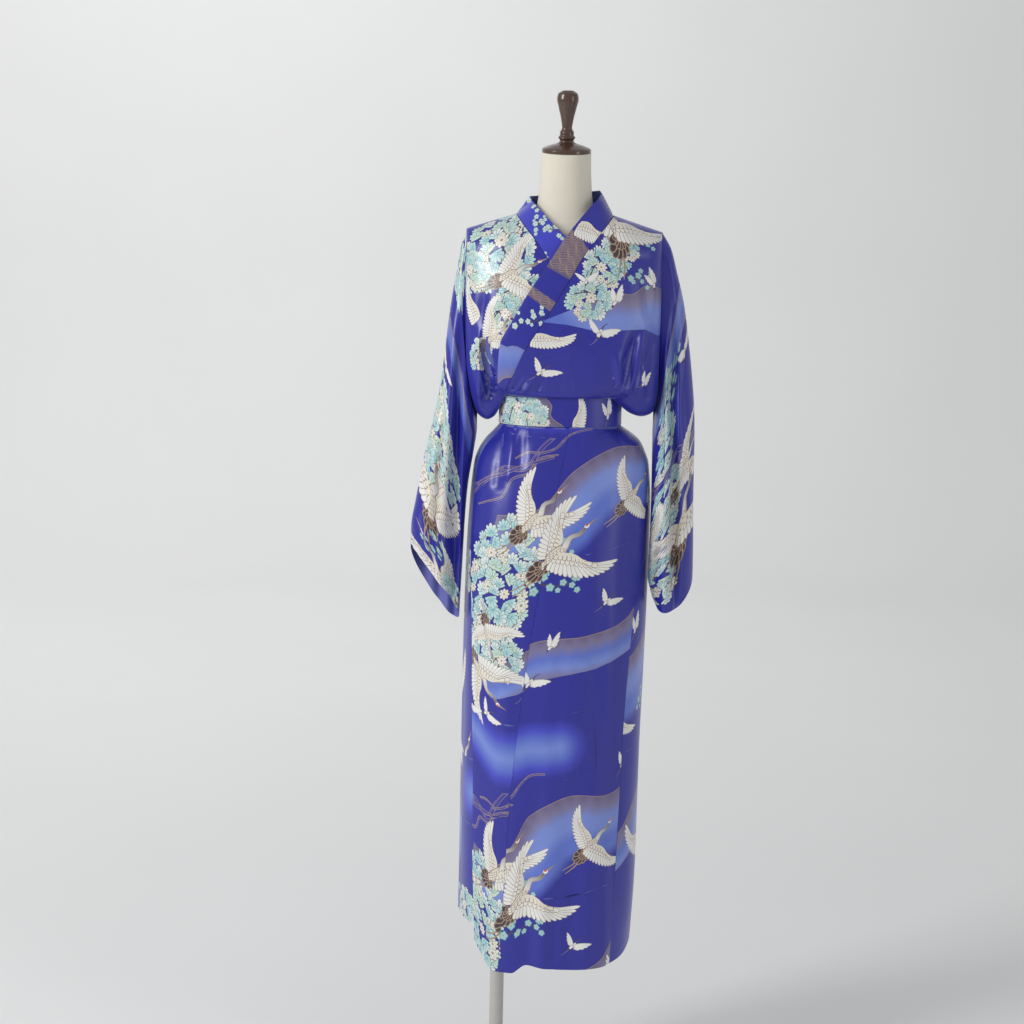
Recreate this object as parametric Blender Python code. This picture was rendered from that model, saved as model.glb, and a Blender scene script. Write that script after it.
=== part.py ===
"""A kimono dress worn by a limbless dress form on a stand.

Metres, +Z up. The origin is on the floor, under the middle of the base plate. The front of the dress
faces -Y, and +X is the picture's right. Each piece of cloth is a closed wall: a sheet of outer points, worked
out from the tables below, and the same sheet moved in by the wall's thickness.
"""

import math

import bmesh
import bpy
import numpy as np

# Cloth
WALL = 0.0013  # satin with its seam allowances, as one rigid wall
COLLAR_WALL = 0.0026  # the collar band is folded double
SEAM = 0.0003  # between pieces that are sewn together
COLLAR_SEAM = 0.0009  # the same for the collar's thick edge, measured sideways
STEP = 1e-4  # how far apart two points are taken to find a slope
SEAM_ROUNDS = 25  # how often a seam's place is worked out anew until it stands
HEM_ROUNDS = 5

# The wrap's layers, measured in from the outer face of the over front
UNDER_INSET = 0.0038
UNDER_FADE = 0.030  # from the armhole, where it meets the back, to its full depth
UNDER_FADE_ROWS = 2.0  # the same below the shoulder line
UNDER_SKIRT_INSET = 0.0026
UNDER_TUCKS = 0.0040  # more below the belt, where the over front is tucked
UNDER_TUCKS_X = (-0.140, -0.110)  # where that begins, and where it is at its full depth
UNDER_TUCKS_TOP = (0.026, 0.046)  # the same down the skirt, as shares of its length
UNDER_SLACK = 0.0020  # more below the tucks
UNDER_SLACK_ROWS = (0.12, 0.24)
OVER_COLLAR_RISE = 0.0008
UNDER_COLLAR_INSET = 0.0042

# Heights above the floor
CHEST_Z = 1.520  # the shoulders round off above this height
SHOULDER_TIP_Z = 1.5635
SHOULDER_SLOPE = 0.32
SHOULDER_HALF = 0.1703
BELT_Z = (1.2260, 1.2750)
TORSO_BOTTOM_Z = 0.950
NECK_TOP_Z = 1.697

# Belt
BELT_HALF = (0.1085, 0.0850)  # half width and half depth, outside
BELT_WALL = 0.0023

# Stand
BASE_RADIUS = 0.180
BASE_HEIGHT = 0.010
BASE_EDGE = 0.002
POLE_RADIUS = 0.0127
POLE_X = -0.0915
NECK_TILT = math.radians(8.0)  # the top of the neck leans to the front
GAP = 0.0003

# Roundness of the sections: 2 is an ellipse, more is flatter in front
CLOTH_POWER = 2.3
FORM_POWER = 2.2

# The bodice, a row for each section from the shoulder down. Above row 3 the shoulder formula takes over. The
# last rows turn under at the sides, come up inside, go over the belt's top edge and end behind the belt.
BODICE = {
    "columns": "row z_left z_front z_right z_back half_left half_right front back armhole".split(),
    "rows": [
        (3, 1.5200, 1.5200, 1.5200, 1.5200, 0.1703, 0.1703, 0.0930, 0.0940, 0.0200),
        (4, 1.4800, 1.4800, 1.4800, 1.4800, 0.1702, 0.1703, 0.1080, 0.1000, 0.0260),
        (5, 1.4300, 1.4300, 1.4300, 1.4300, 0.1697, 0.1703, 0.1150, 0.1010, 0.0300),
        (6, 1.3800, 1.3800, 1.3800, 1.3800, 0.1690, 0.1705, 0.1150, 0.0990, 0.0320),
        (7, 1.3350, 1.3380, 1.3350, 1.3380, 0.1670, 0.1710, 0.1090, 0.0960, 0.0300),
        (8, 1.2950, 1.3080, 1.2980, 1.3080, 0.1615, 0.1710, 0.1025, 0.0930, 0.0240),
        (9, 1.2620, 1.2930, 1.2680, 1.2920, 0.1540, 0.1690, 0.0980, 0.0905, 0.0140),
        (10, 1.2400, 1.2850, 1.2500, 1.2840, 0.1460, 0.1640, 0.0945, 0.0900, 0.0011),
        (11, 1.2310, 1.2800, 1.2425, 1.2795, 0.1320, 0.1480, 0.0925, 0.0890, 0.00015),
        (12, 1.2375, 1.2770, 1.2470, 1.2770, 0.1190, 0.1300, 0.0900, 0.0878, 0.00015),
        (13, 1.2560, 1.2758, 1.2600, 1.2758, 0.1115, 0.1150, 0.0880, 0.0868, 0.00015),
        (14, 1.2720, 1.2755, 1.2725, 1.2755, 0.1091, 0.1093, 0.0865, 0.0859, 0.00015),
        (15, 1.2755, 1.2755, 1.2755, 1.2755, 0.1088, 0.1088, 0.0850, 0.0850, 0.00015),
        (16, 1.2755, 1.2755, 1.2755, 1.2755, 0.1058, 0.1058, 0.0823, 0.0823, 0.00015),
        (17, 1.2720, 1.2720, 1.2720, 1.2720, 0.1056, 0.1056, 0.0821, 0.0821, 0.00015),
        (18, 1.25065, 1.25065, 1.25065, 1.25065, 0.1056, 0.1056, 0.0821, 0.0821, 0.00015),
    ],
}
SHOULDER_ROWS = 3
ARMHOLE_ROWS = 10
LAST_ROW = 18
DROOP_LEFT = (0.82, 0.985)  # the share of the half width over which the sides droop past the belt
DROOP_RIGHT = (0.72, 0.97)
TURN_ROW = 10  # below this row a front's free edge goes in behind the belt, straight down
HIDDEN_NARROWING = 0.16  # how far that hidden end draws in, as a share
HIDDEN_ROWS = 2.0  # over how many rows it does so
OUTER_ROWS = 9  # rows of the table in which the front and back still go down, from the first

# Where the over front ends at the collar seam, and where the under front does
OVER_SEAM = {
    "columns": "z x".split(),
    "rows": [
        (1.2500, -0.0960),
        (1.2870, -0.0945),
        (1.3190, -0.0817),
        (1.3560, -0.0661),
        (1.3890, -0.0457),
        (1.4320, -0.0192),
        (1.4676, 0.0029),
        (1.5190, 0.0320),
        (1.5550, 0.0580),
        (1.5900, 0.0850),
        (1.6000, 0.0900),
    ],
}
UNDER_SEAM = {
    "columns": "z x".split(),
    "rows": [
        (1.2500, 0.0600),
        (1.2870, 0.0585),
        (1.3560, 0.0420),
        (1.4180, 0.0200),
        (1.4676, -0.0020),
        (1.5140, -0.0292),
        (1.5490, -0.0536),
        (1.5900, -0.0850),
        (1.6000, -0.0900),
    ],
}

# The collar's free edge, a row for each section: the number of the bodice row on the front stretches, its
# place, and how far it lies on the chest (1) or stands free round the neck (0)
OVER_EDGE = {
    "columns": "row x y z lie".split(),
    "rows": [
        (0, 0.0640, 0.0000, 1.6280, 0.0),
        (1, 0.0570, -0.0310, 1.6190, 0.0),
        (2, 0.0400, -0.0550, 1.6010, 0.15),
        (3, 0.0040, -0.0740, 1.5570, 1.0),
        (4, -0.0285, -0.0950, 1.5060, 1.0),
        (5, -0.0590, -0.1150, 1.4600, 1.0),
        (6, -0.0870, -0.1150, 1.4100, 1.0),
        (7, -0.1090, -0.1000, 1.3650, 1.0),
        (8, -0.1115, -0.0900, 1.3240, 1.0),
        (9, -0.1115, -0.0850, 1.3010, 1.0),
        (10, -0.1100, -0.0800, 1.2870, 1.0),
        (11, -0.1040, -0.0780, 1.2805, 1.0),
    ],
}
UNDER_EDGE = {
    "columns": "row x y z lie".split(),
    "rows": [
        (0, -0.0595, 0.0000, 1.6150, 0.0),
        (1, -0.0515, -0.0300, 1.6060, 0.0),
        (2, -0.0325, -0.0550, 1.5860, 0.15),
        (3, 0.0070, -0.0740, 1.5450, 1.0),
        (4, 0.0300, -0.0950, 1.5060, 1.0),
        (5, 0.0520, -0.1150, 1.4570, 1.0),
        (6, 0.0730, -0.1150, 1.4070, 1.0),
        (7, 0.0870, -0.1000, 1.3600, 1.0),
        (8, 0.0960, -0.0900, 1.3260, 1.0),
        (9, 0.1000, -0.0850, 1.3080, 1.0),
    ],
}
COLLAR_ROWS = {"over": 11, "under": 9}  # the bodice row at which each end of the band lies
NECKLINE = (0.0850, 0.0700)  # half width and half depth of the back neckline, seen from above
COLLAR_TOP = (0.0615, 0.0605, 1.634)  # half width, half depth and height of the band's edge behind the neck
COLLAR_SIDE_DROP = 0.006  # how much lower that edge is at its left end than at its right
COLLAR_LIFT = 0.0004  # how far the band's seam edge lies above the shoulder line
NECK_CLEAR = (-0.0002, 0.0005)  # how far the same edge lies in and up from the back's neckline
COLLAR_ROUND = 0.5  # how soon the band comes to lie on the chest between its edges

# The skirt, a row for each height
SKIRT = {
    "columns": "z half_left half_right front back".split(),
    "rows": [
        (1.2510, 0.1056, 0.1056, 0.0821, 0.0821),
        (1.2252, 0.1056, 0.1056, 0.0821, 0.0821),
        (1.2215, 0.1080, 0.1100, 0.0850, 0.0850),
        (1.2110, 0.1170, 0.1265, 0.0905, 0.0910),
        (1.1960, 0.1310, 0.1430, 0.0985, 0.0990),
        (1.1770, 0.1430, 0.1525, 0.1060, 0.1070),
        (1.1570, 0.1500, 0.1590, 0.1120, 0.1130),
        (1.0870, 0.1570, 0.1640, 0.1220, 0.1210),
        (0.9790, 0.1620, 0.1635, 0.1280, 0.1245),
        (0.8150, 0.1645, 0.1610, 0.1310, 0.1260),
        (0.6300, 0.1650, 0.1570, 0.1330, 0.1270),
        (0.4420, 0.1650, 0.1560, 0.1360, 0.1290),
        (0.2500, 0.1655, 0.1480, 0.1400, 0.1310),
    ],
}
SKIRT_TOP_Z = 1.25035
HIP = 0.10  # how far below the waist the sections begin to follow the hem
# Lines down the skirt, as degrees round the section from the middle of the front: the wrap's free edge, the
# seam of the overlap strip, the seam at the right side and the hidden edge of the under front
SKIRT_LINES = {
    "columns": "z free_edge overlap_seam right_seam hidden_edge".split(),
    "rows": [
        (1.2510, -71.0, 9.0, 80.0, 40.0),
        (1.1570, -72.0, 1.0, 74.0, 42.0),
        (1.0000, -70.0, -8.0, 62.0, 42.0),
        (0.8150, -64.0, -18.0, 53.0, 42.0),
        (0.6300, -60.0, -25.0, 50.0, 42.0),
        (0.4420, -57.0, -29.5, 48.0, 42.0),
        (0.2500, -52.0, -33.0, 46.0, 40.0),
    ],
}
LEFT_SEAM = -90.0
SKIRT_SEAM = 0.16  # the gap at a seam, in degrees
# The hem's height at points round the skirt, in degrees from the middle of the front
HEM_OVER = {
    "columns": "angle z".split(),
    "rows": [
        (-62, 0.330),
        (-52, 0.300),
        (-42, 0.268),
        (-36, 0.256),
        (-24, 0.256),
        (-14, 0.272),
        (0, 0.268),
        (18, 0.266),
        (40, 0.268),
        (62, 0.274),
        (90, 0.290),
        (180, 0.284),
        (270, 0.330),
    ],
}
HEM_UNDER = {"columns": "angle z".split(), "rows": [(-90, 0.336), (-60, 0.330), (-20, 0.318), (60, 0.300)]}

# Folds, each a line seen from the front or the back: its two ends, its width and its height, below zero in a
# trough
FOLD_COLUMNS = "x_top z_top x_bottom z_bottom width height".split()
FOLD_RISE = 0.35  # the share of its length over which a fold comes up
FOLD_END = 0.12  # and over which it goes down again
SIDE_FADE = 0.06  # the share of the bodice's half width over which folds end at its sides
SKIRT_SIDE_FADE = 0.5  # the same on the skirt, as a share of its depth
SLEEVE_SIDE_FADE = 0.45
BODICE_FRONT_FOLDS = {
    "columns": FOLD_COLUMNS,
    "rows": [
        (0.1460, 1.430, 0.1180, 1.283, 0.0070, 0.0060),
        (0.1250, 1.410, 0.1120, 1.285, 0.0075, -0.0085),
        (0.0900, 1.370, 0.1080, 1.283, 0.0090, 0.0045),
        (0.1570, 1.420, 0.1480, 1.262, 0.0080, -0.0060),
        (-0.1490, 1.420, -0.1420, 1.262, 0.0070, 0.0055),
        (-0.1330, 1.400, -0.1270, 1.262, 0.0080, -0.0095),
        (-0.1240, 1.370, -0.1215, 1.275, 0.0050, 0.0050),
    ],
}
BODICE_BACK_FOLDS = {
    "columns": FOLD_COLUMNS,
    "rows": [
        (-0.1350, 1.450, -0.1180, 1.270, 0.0100, -0.0080),
        (-0.1080, 1.420, -0.1020, 1.285, 0.0090, 0.0050),
        (0.0000, 1.380, 0.0000, 1.282, 0.0180, 0.0040),
        (0.1080, 1.430, 0.1030, 1.285, 0.0090, 0.0050),
        (0.1360, 1.450, 0.1230, 1.270, 0.0100, -0.0080),
    ],
}
SKIRT_TUCKS = {
    "columns": FOLD_COLUMNS,
    "rows": [
        (-0.0990, 1.222, -0.1100, 1.110, 0.0095, -0.0040),
        (-0.0830, 1.222, -0.0910, 1.130, 0.0080, 0.0030),
        (-0.0660, 1.222, -0.0700, 1.150, 0.0095, -0.0040),
    ],
}
SKIRT_FRONT_FOLDS = {
    "columns": FOLD_COLUMNS,
    "rows": [
        (0.0400, 0.700, 0.0250, 0.230, 0.0220, -0.0035),
        (-0.0400, 0.620, -0.0380, 0.230, 0.0200, -0.0060),
        (0.0900, 0.560, 0.0850, 0.230, 0.0180, 0.0040),
    ],
}
SKIRT_BACK_FOLDS = {
    "columns": FOLD_COLUMNS,
    "rows": [
        (-0.0700, 1.218, -0.0780, 0.980, 0.0120, -0.0060),
        (-0.0200, 1.218, -0.0240, 1.020, 0.0120, 0.0045),
        (0.0350, 1.218, 0.0380, 0.960, 0.0120, -0.0060),
        (0.0850, 1.218, 0.0900, 1.020, 0.0110, 0.0040),
        (-0.0900, 0.800, -0.0800, 0.230, 0.0260, -0.0060),
        (0.0500, 0.760, 0.0450, 0.230, 0.0300, -0.0065),
    ],
}

# The sleeves, a row for each section from the armhole (0) to the cuff (1): the fold along the top of the arm,
# the seam under the arm, and half the sleeve's thickness
SLEEVE_COLUMNS = "along fold_x fold_y fold_z under_x under_y under_z half".split()
SLEEVE_LEFT = {
    "columns": SLEEVE_COLUMNS,
    "rows": [
        (0.00, -0.1706, 0.000, 1.5635, -0.1463, 0.000, 1.2400, 0.030),
        (0.06, -0.1800, 0.000, 1.5320, -0.1468, 0.000, 1.2320, 0.033),
        (0.15, -0.1880, 0.000, 1.4800, -0.1475, 0.000, 1.2150, 0.038),
        (0.28, -0.1990, -0.004, 1.4050, -0.1530, -0.006, 1.1700, 0.041),
        (0.42, -0.2090, -0.008, 1.3250, -0.1605, -0.012, 1.1130, 0.038),
        (0.56, -0.2220, -0.012, 1.2450, -0.1645, -0.018, 1.0550, 0.037),
        (0.70, -0.2380, -0.014, 1.1650, -0.1670, -0.024, 1.0000, 0.036),
        (0.84, -0.2520, -0.015, 1.0850, -0.1690, -0.028, 0.9470, 0.035),
        (0.93, -0.2600, -0.016, 1.0400, -0.1700, -0.028, 0.9130, 0.034),
        (1.00, -0.2615, -0.016, 1.0040, -0.1705, -0.028, 0.8850, 0.032),
    ],
}
SLEEVE_RIGHT = {
    "columns": SLEEVE_COLUMNS,
    "rows": [
        (0.00, 0.1706, 0.000, 1.5635, 0.1643, 0.000, 1.2500, 0.030),
        (0.06, 0.1880, 0.000, 1.5330, 0.1645, 0.000, 1.2420, 0.033),
        (0.15, 0.2000, 0.000, 1.4870, 0.1645, -0.004, 1.2230, 0.037),
        (0.28, 0.2170, -0.006, 1.4100, 0.1650, -0.022, 1.1780, 0.039),
        (0.42, 0.2290, -0.009, 1.3250, 0.1640, -0.042, 1.1180, 0.038),
        (0.56, 0.2355, -0.012, 1.2400, 0.1620, -0.050, 1.0600, 0.037),
        (0.70, 0.2390, -0.014, 1.1550, 0.1605, -0.052, 1.0050, 0.037),
        (0.84, 0.2405, -0.015, 1.0700, 0.1600, -0.052, 0.9650, 0.036),
        (0.93, 0.2420, -0.016, 1.0150, 0.1655, -0.050, 0.9430, 0.035),
        (1.00, 0.2430, -0.016, 0.9640, 0.1750, -0.046, 0.9250, 0.033),
    ],
}
SLEEVE_SEAM_ANGLE = 0.016  # keeps the two edges of the seam under the arm apart
ARMHOLE_END = 0.22  # how far down the armhole's shape reaches into the sleeve
FOLD_START = (0.05, 0.20)  # where the folds begin, and where they are at their full height
CUFF_START = 0.80  # where the cuff's front edge begins to part from its back edge
CUFF_LEFT = (0.009, -0.034)  # how far the front edge and the back edge lie above the cuff's line
CUFF_RIGHT = (-0.038, -0.036)
CUFF_ROUND = 0.8
SLEEVE_LEFT_FRONT_FOLDS = {
    "columns": FOLD_COLUMNS,
    "rows": [
        (-0.1780, 1.420, -0.1860, 0.870, 0.0095, -0.0170),
        (-0.1670, 1.330, -0.1720, 0.830, 0.0070, 0.0070),
        (-0.2150, 1.330, -0.2380, 0.960, 0.0140, 0.0050),
    ],
}
SLEEVE_LEFT_BACK_FOLDS = {
    "columns": FOLD_COLUMNS,
    "rows": [
        (-0.1850, 1.360, -0.1970, 0.840, 0.0110, -0.0130),
        (-0.1730, 1.240, -0.1780, 0.800, 0.0090, 0.0050),
        (-0.2100, 1.320, -0.2220, 0.900, 0.0110, -0.0070),
    ],
}
SLEEVE_RIGHT_FRONT_FOLDS = {
    "columns": FOLD_COLUMNS,
    "rows": [
        (0.1880, 1.470, 0.2060, 0.930, 0.0095, -0.0170),
        (0.1810, 1.380, 0.1900, 0.860, 0.0080, 0.0070),
        (0.1690, 1.300, 0.1740, 0.920, 0.0070, -0.0060),
    ],
}
SLEEVE_RIGHT_BACK_FOLDS = {
    "columns": FOLD_COLUMNS,
    "rows": [
        (0.1850, 1.450, 0.2080, 0.860, 0.0100, -0.0130),
        (0.1750, 1.330, 0.1860, 0.880, 0.0080, 0.0050),
        (0.2120, 1.330, 0.2260, 0.880, 0.0110, -0.0070),
    ],
}

# The form's torso below the shoulders, and its neck
TORSO = {
    "columns": "z half front back".split(),
    "rows": [
        (0.9500, 0.1480, 0.1000, 0.0960),
        (0.9530, 0.1535, 0.1055, 0.1010),
        (0.9650, 0.1560, 0.1080, 0.1040),
        (1.0300, 0.1560, 0.1110, 0.1080),
        (1.0900, 0.1500, 0.1080, 0.1060),
        (1.1500, 0.1330, 0.0970, 0.0960),
        (1.1900, 0.1080, 0.0830, 0.0840),
        (1.2220, 0.0995, 0.0765, 0.0770),
        (1.2500, 0.0980, 0.0745, 0.0750),
        (1.3000, 0.1035, 0.0775, 0.0785),
        (1.3500, 0.1220, 0.0945, 0.0860),
        (1.4000, 0.1370, 0.1050, 0.0900),
        (1.4500, 0.1470, 0.1030, 0.0920),
        (1.4900, 0.1560, 0.0930, 0.0900),
        (1.5200, 0.1620, 0.0800, 0.0840),
    ],
}
NECK = {
    "columns": "z half depth".split(),
    "rows": [
        (1.5450, 0.1510, 0.0720),
        (1.5620, 0.1380, 0.0600),
        (1.5740, 0.1030, 0.0535),
        (1.5850, 0.0730, 0.0480),
        (1.5960, 0.0560, 0.0458),
        (1.6080, 0.0490, 0.0448),
        (1.6250, 0.0465, 0.0442),
        (1.6600, 0.0440, 0.0436),
    ],
}
NECK_TOP_RADIUS = 0.0430

# The turned cap on the neck, a row for each ring: radius and height above the top of the neck
CAP = {
    "columns": "radius height".split(),
    "rows": [
        (0.0418, 0.0003),
        (0.0428, 0.0012),
        (0.0428, 0.0055),
        (0.0405, 0.0078),
        (0.0290, 0.0125),
        (0.0160, 0.0165),
        (0.0120, 0.0205),
        (0.0150, 0.0260),
        (0.0122, 0.0300),
        (0.0122, 0.0350),
        (0.0088, 0.0425),
        (0.0110, 0.0570),
        (0.0155, 0.0760),
        (0.0188, 0.0905),
        (0.0172, 0.1000),
        (0.0105, 0.1050),
    ],
}
CAP_HEIGHT = 0.1065

# How finely each piece is divided
COLUMNS = {"over": 21, "under": 18, "neckline": 13, "shoulder": 10, "collar": 5,
           "skirt_over": 18, "skirt_overlap": 12, "skirt_under": 18, "skirt_back": 23}
SKIRT_ROWS = [0.0, 0.0252, 0.029, 0.039, 0.054, 0.073, 0.10, 0.17, 0.28, 0.44, 0.60, 0.76, 0.90, 1.0]
SLEEVE_ROWS = [0.0, 0.05, 0.12, 0.20, 0.30, 0.40, 0.50, 0.60, 0.70, 0.79, 0.87, 0.94, 1.0]
SLEEVE_COLUMN = 0.5  # in rows of the armhole
BELT_SIDES = 44
FORM_SIDES = 28
ROUND_SIDES = 20
BASE_SIDES = 48

# Colours, with roughness and metallic value
SATIN = ((0.045, 0.050, 0.42), 0.35, 0.0)
FORM_CLOTH = ((0.80, 0.74, 0.60), 0.85, 0.0)
WOOD = ((0.060, 0.028, 0.014), 0.30, 0.0)
PAINTED_STEEL = ((0.50, 0.49, 0.46), 0.40, 0.6)


def through(knots, values, at):
    """A smooth curve through the values, which never swings past them."""
    knots = np.asarray(knots, float)
    values = np.asarray(values, float)
    if knots[0] > knots[-1]:
        knots = knots[::-1]
        values = values[::-1]
    gaps = np.diff(knots)
    slopes = np.diff(values) / gaps
    tangents = np.zeros_like(values)
    tangents[0] = slopes[0]
    tangents[-1] = slopes[-1]
    same = slopes[:-1] * slopes[1:] > 0
    total = np.where(same, slopes[:-1] + slopes[1:], 1.0)
    tangents[1:-1] = np.where(same, 2 * slopes[:-1] * slopes[1:] / total, 0.0)
    at = np.clip(np.asarray(at, float), knots[0], knots[-1])
    i = np.clip(np.searchsorted(knots, at, side="right") - 1, 0, len(gaps) - 1)
    t = (at - knots[i]) / gaps[i]
    rise = values[i] * (1 + 2 * t) * (1 - t) ** 2 + values[i + 1] * t**2 * (3 - 2 * t)
    bend = tangents[i] * t * (1 - t) ** 2 - tangents[i + 1] * t**2 * (1 - t)
    return rise + bend * gaps[i]


def column(table, name):
    """One named column of a table."""
    place = table["columns"].index(name)
    return np.array([row[place] for row in table["rows"]], float)


def read(table, name, at):
    """A named column at any value of the table's first column."""
    return through(column(table, table["columns"][0]), column(table, name), at)


def smooth(x):
    """From 0 to 1 without a corner."""
    x = np.clip(x, 0.0, 1.0)
    return x * x * (3 - 2 * x)


def step(x, between):
    """From 0 to 1 between two values."""
    first, last = between
    return smooth((x - first) / (last - first))


def relief(folds, x, z):
    """The height of a table of folds at places seen from the front or the back."""
    total = np.zeros_like(x)
    for x_top, z_top, x_bottom, z_bottom, width, height in folds["rows"]:
        t = (z_top - z) / (z_top - z_bottom)
        middle = x_top + (x_bottom - x_top) * t
        ends = smooth(t / FOLD_RISE) * smooth((1.0 - t) / FOLD_END)
        total = total + height * ends * np.exp(-(((x - middle) / width) ** 2))
    return total


def profile(share, power):
    """Depth of a section, as a share, at a share of its half width."""
    return np.clip(1.0 - np.clip(np.abs(share), 0.0, 1.0) ** power, 0.0, 1.0) ** (1.0 / power)


def shoulder_rise(x):
    """Height of the shoulder line above the chest."""
    return SHOULDER_TIP_Z - CHEST_Z + SHOULDER_SLOPE * (SHOULDER_HALF - np.abs(x))


def bodice_depth(x, z, front):
    """How far the bodice's outer face lies in front of, or behind, the shoulder line at a height."""
    side = "front" if front else "back"
    heights = column(BODICE, "z_" + side)[:OUTER_ROWS]
    row = through(heights, column(BODICE, "row")[:OUTER_ROWS], np.minimum(z, CHEST_Z))
    deep = read(BODICE, side, row)
    half = np.where(x < 0, bodice_half(row, False), bodice_half(row, True))
    edge = read(BODICE, "armhole", row)
    depth = edge + (deep - edge) * profile(x / half, CLOTH_POWER)
    lift = np.clip((z - CHEST_Z) / shoulder_rise(x), 0.0, 1.0)
    return depth * np.sqrt(1.0 - lift**2)


def bodice_place(x, row, front):
    """A point of the bodice's front or back, at a place across and a row down."""
    side = "front" if front else "back"
    sign = -1.0 if front else 1.0
    low = np.maximum(row, SHOULDER_ROWS)
    half = np.where(x < 0, read(BODICE, "half_left", low), read(BODICE, "half_right", low))
    share = np.clip(np.abs(x) / half, 0.0, 1.0)
    deep = read(BODICE, side, low)
    edge = read(BODICE, "armhole", low)
    droop = np.where(x < 0, step(share, DROOP_LEFT), step(share, DROOP_RIGHT))
    z_side = np.where(x < 0, read(BODICE, "z_left", low), read(BODICE, "z_right", low))
    z_middle = read(BODICE, "z_" + side, low)
    z = z_middle + (z_side - z_middle) * droop
    depth = edge + (deep - edge) * profile(share, CLOTH_POWER)
    folds = BODICE_FRONT_FOLDS if front else BODICE_BACK_FOLDS
    depth = depth + relief(folds, x, z) * smooth((1.0 - share) / SIDE_FADE)
    up = np.clip((SHOULDER_ROWS - row) / SHOULDER_ROWS, 0.0, 1.0) * math.pi / 2
    z = np.where(row < SHOULDER_ROWS, CHEST_Z + shoulder_rise(x) * np.sin(up), z)
    depth = np.where(row < SHOULDER_ROWS, depth * np.cos(up), depth)
    return np.stack([x, sign * np.maximum(depth, SEAM / 2), z], axis=-1)


def bodice_half(row, right):
    """The half width of the bodice at a row, on one side."""
    return read(BODICE, "half_right" if right else "half_left", np.maximum(row, SHOULDER_ROWS))


def seam_x(table, row):
    """Where a front ends at its collar seam, at each row, found by trying height and place in turn."""
    x = np.zeros_like(row)
    low = np.clip(row, SHOULDER_ROWS, TURN_ROW)
    up = np.clip((SHOULDER_ROWS - row) / SHOULDER_ROWS, 0.0, 1.0) * math.pi / 2
    for _ in range(SEAM_ROUNDS):
        shoulder = CHEST_Z + shoulder_rise(x) * np.sin(up)
        z = np.where(row < SHOULDER_ROWS, shoulder, read(BODICE, "z_front", low))
        x = read(table, "x", z)
    return x * (1.0 - HIDDEN_NARROWING * smooth((row - TURN_ROW - 1) / HIDDEN_ROWS))


def spread(start, end, half, u):
    """Places across a section, closer together at its sides, for u from 0 to 1."""
    first = np.arcsin(np.clip(start / half, -1.0, 1.0))
    last = np.arcsin(np.clip(end / half, -1.0, 1.0))
    return half * np.sin(first + (last - first) * u)


def over_place(u, row):
    """The over front of the bodice, from its collar seam (0) to the right armhole (1)."""
    half = bodice_half(row, True)
    x = spread(seam_x(OVER_SEAM, row), half, half, u)
    return bodice_place(x, row, True)


def under_place(u, row):
    """The under front of the bodice, from the left armhole (0) to its own collar seam (1)."""
    half = bodice_half(row, False)
    x = spread(-half, seam_x(UNDER_SEAM, row), half, u)
    return bodice_place(x, row, True)


def under_inset(points, row):
    """How deep the under front lies in the over front. It meets the back at the shoulder and armhole."""
    beside = points[..., 0] + bodice_half(row, False)
    return UNDER_INSET * smooth(beside / UNDER_FADE) * smooth(row / UNDER_FADE_ROWS)


def neckline_turns():
    """Where the back's columns meet its neckline, as turns from the right (0) to the left (pi)."""
    return np.linspace(0.0, math.pi, COLUMNS["neckline"])


def back_columns():
    """Places across the back from 0 to 1, with a column at each corner of the neckline."""
    reach = math.asin(NECKLINE[0] / SHOULDER_HALF)
    inside = np.arcsin(NECKLINE[0] * np.cos(neckline_turns()[::-1]) / SHOULDER_HALF)
    beside = np.linspace(reach, math.pi / 2, COLUMNS["shoulder"])[1:]
    return 0.5 + np.concatenate([-beside[::-1], inside, beside]) / math.pi


def neckline_row(x):
    """The bodice row at which the back's neckline runs."""
    deep = NECKLINE[1] * np.sqrt(np.clip(1.0 - (x / NECKLINE[0]) ** 2, 0.0, 1.0))
    full = bodice_depth(x, np.full_like(x, CHEST_Z), False)
    up = np.arccos(np.clip(deep / full, 0.0, 1.0))
    return SHOULDER_ROWS * (1.0 - up / (math.pi / 2))


def back_place(u, row):
    """The back of the bodice, left (0) to right (1), from the shoulder line and the neckline down."""
    half = np.where(u < 0.5, bodice_half(row, False), bodice_half(row, True))
    x = half * np.sin((u - 0.5) * math.pi)
    top = neckline_row(x)
    row = np.where(row < SHOULDER_ROWS, top + (SHOULDER_ROWS - top) * row / SHOULDER_ROWS, row)
    return bodice_place(x, row, False)


def collar_sections():
    """The collar's sections, each a seam edge and a free edge, from the left of the waist on round."""
    pairs = []
    for row in range(COLLAR_ROWS["over"], -1, -1):
        pairs.append(collar_front(row, OVER_SEAM, OVER_EDGE, OVER_COLLAR_RISE))
    for turn in neckline_turns()[1:-1]:
        pairs.append(collar_back(turn))
    for row in range(COLLAR_ROWS["under"] + 1):
        pairs.append(collar_front(row, UNDER_SEAM, UNDER_EDGE, -UNDER_COLLAR_INSET))
    return pairs


def collar_front(row, seam, edge, rise):
    """One section of the band on the chest."""
    row = np.array([float(row)])
    sideways = 1.0 if seam is UNDER_SEAM else -1.0
    x = seam_x(seam, row)
    outer = bodice_place(x, row, True)[0]
    lift = COLLAR_LIFT * (row[0] < 1)
    outer = outer + np.array([sideways * COLLAR_SEAM, -rise * smooth(row[0] / UNDER_FADE_ROWS), lift])
    free = np.array([read(edge, name, row)[0] for name in ("x", "y", "z")])
    lie = read(edge, "lie", row)[0]
    chest = -bodice_depth(np.array([free[0]]), np.array([free[2]]), True)[0] - rise
    free[1] = free[1] + (chest - free[1]) * lie
    return outer, free, lie, rise


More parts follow.
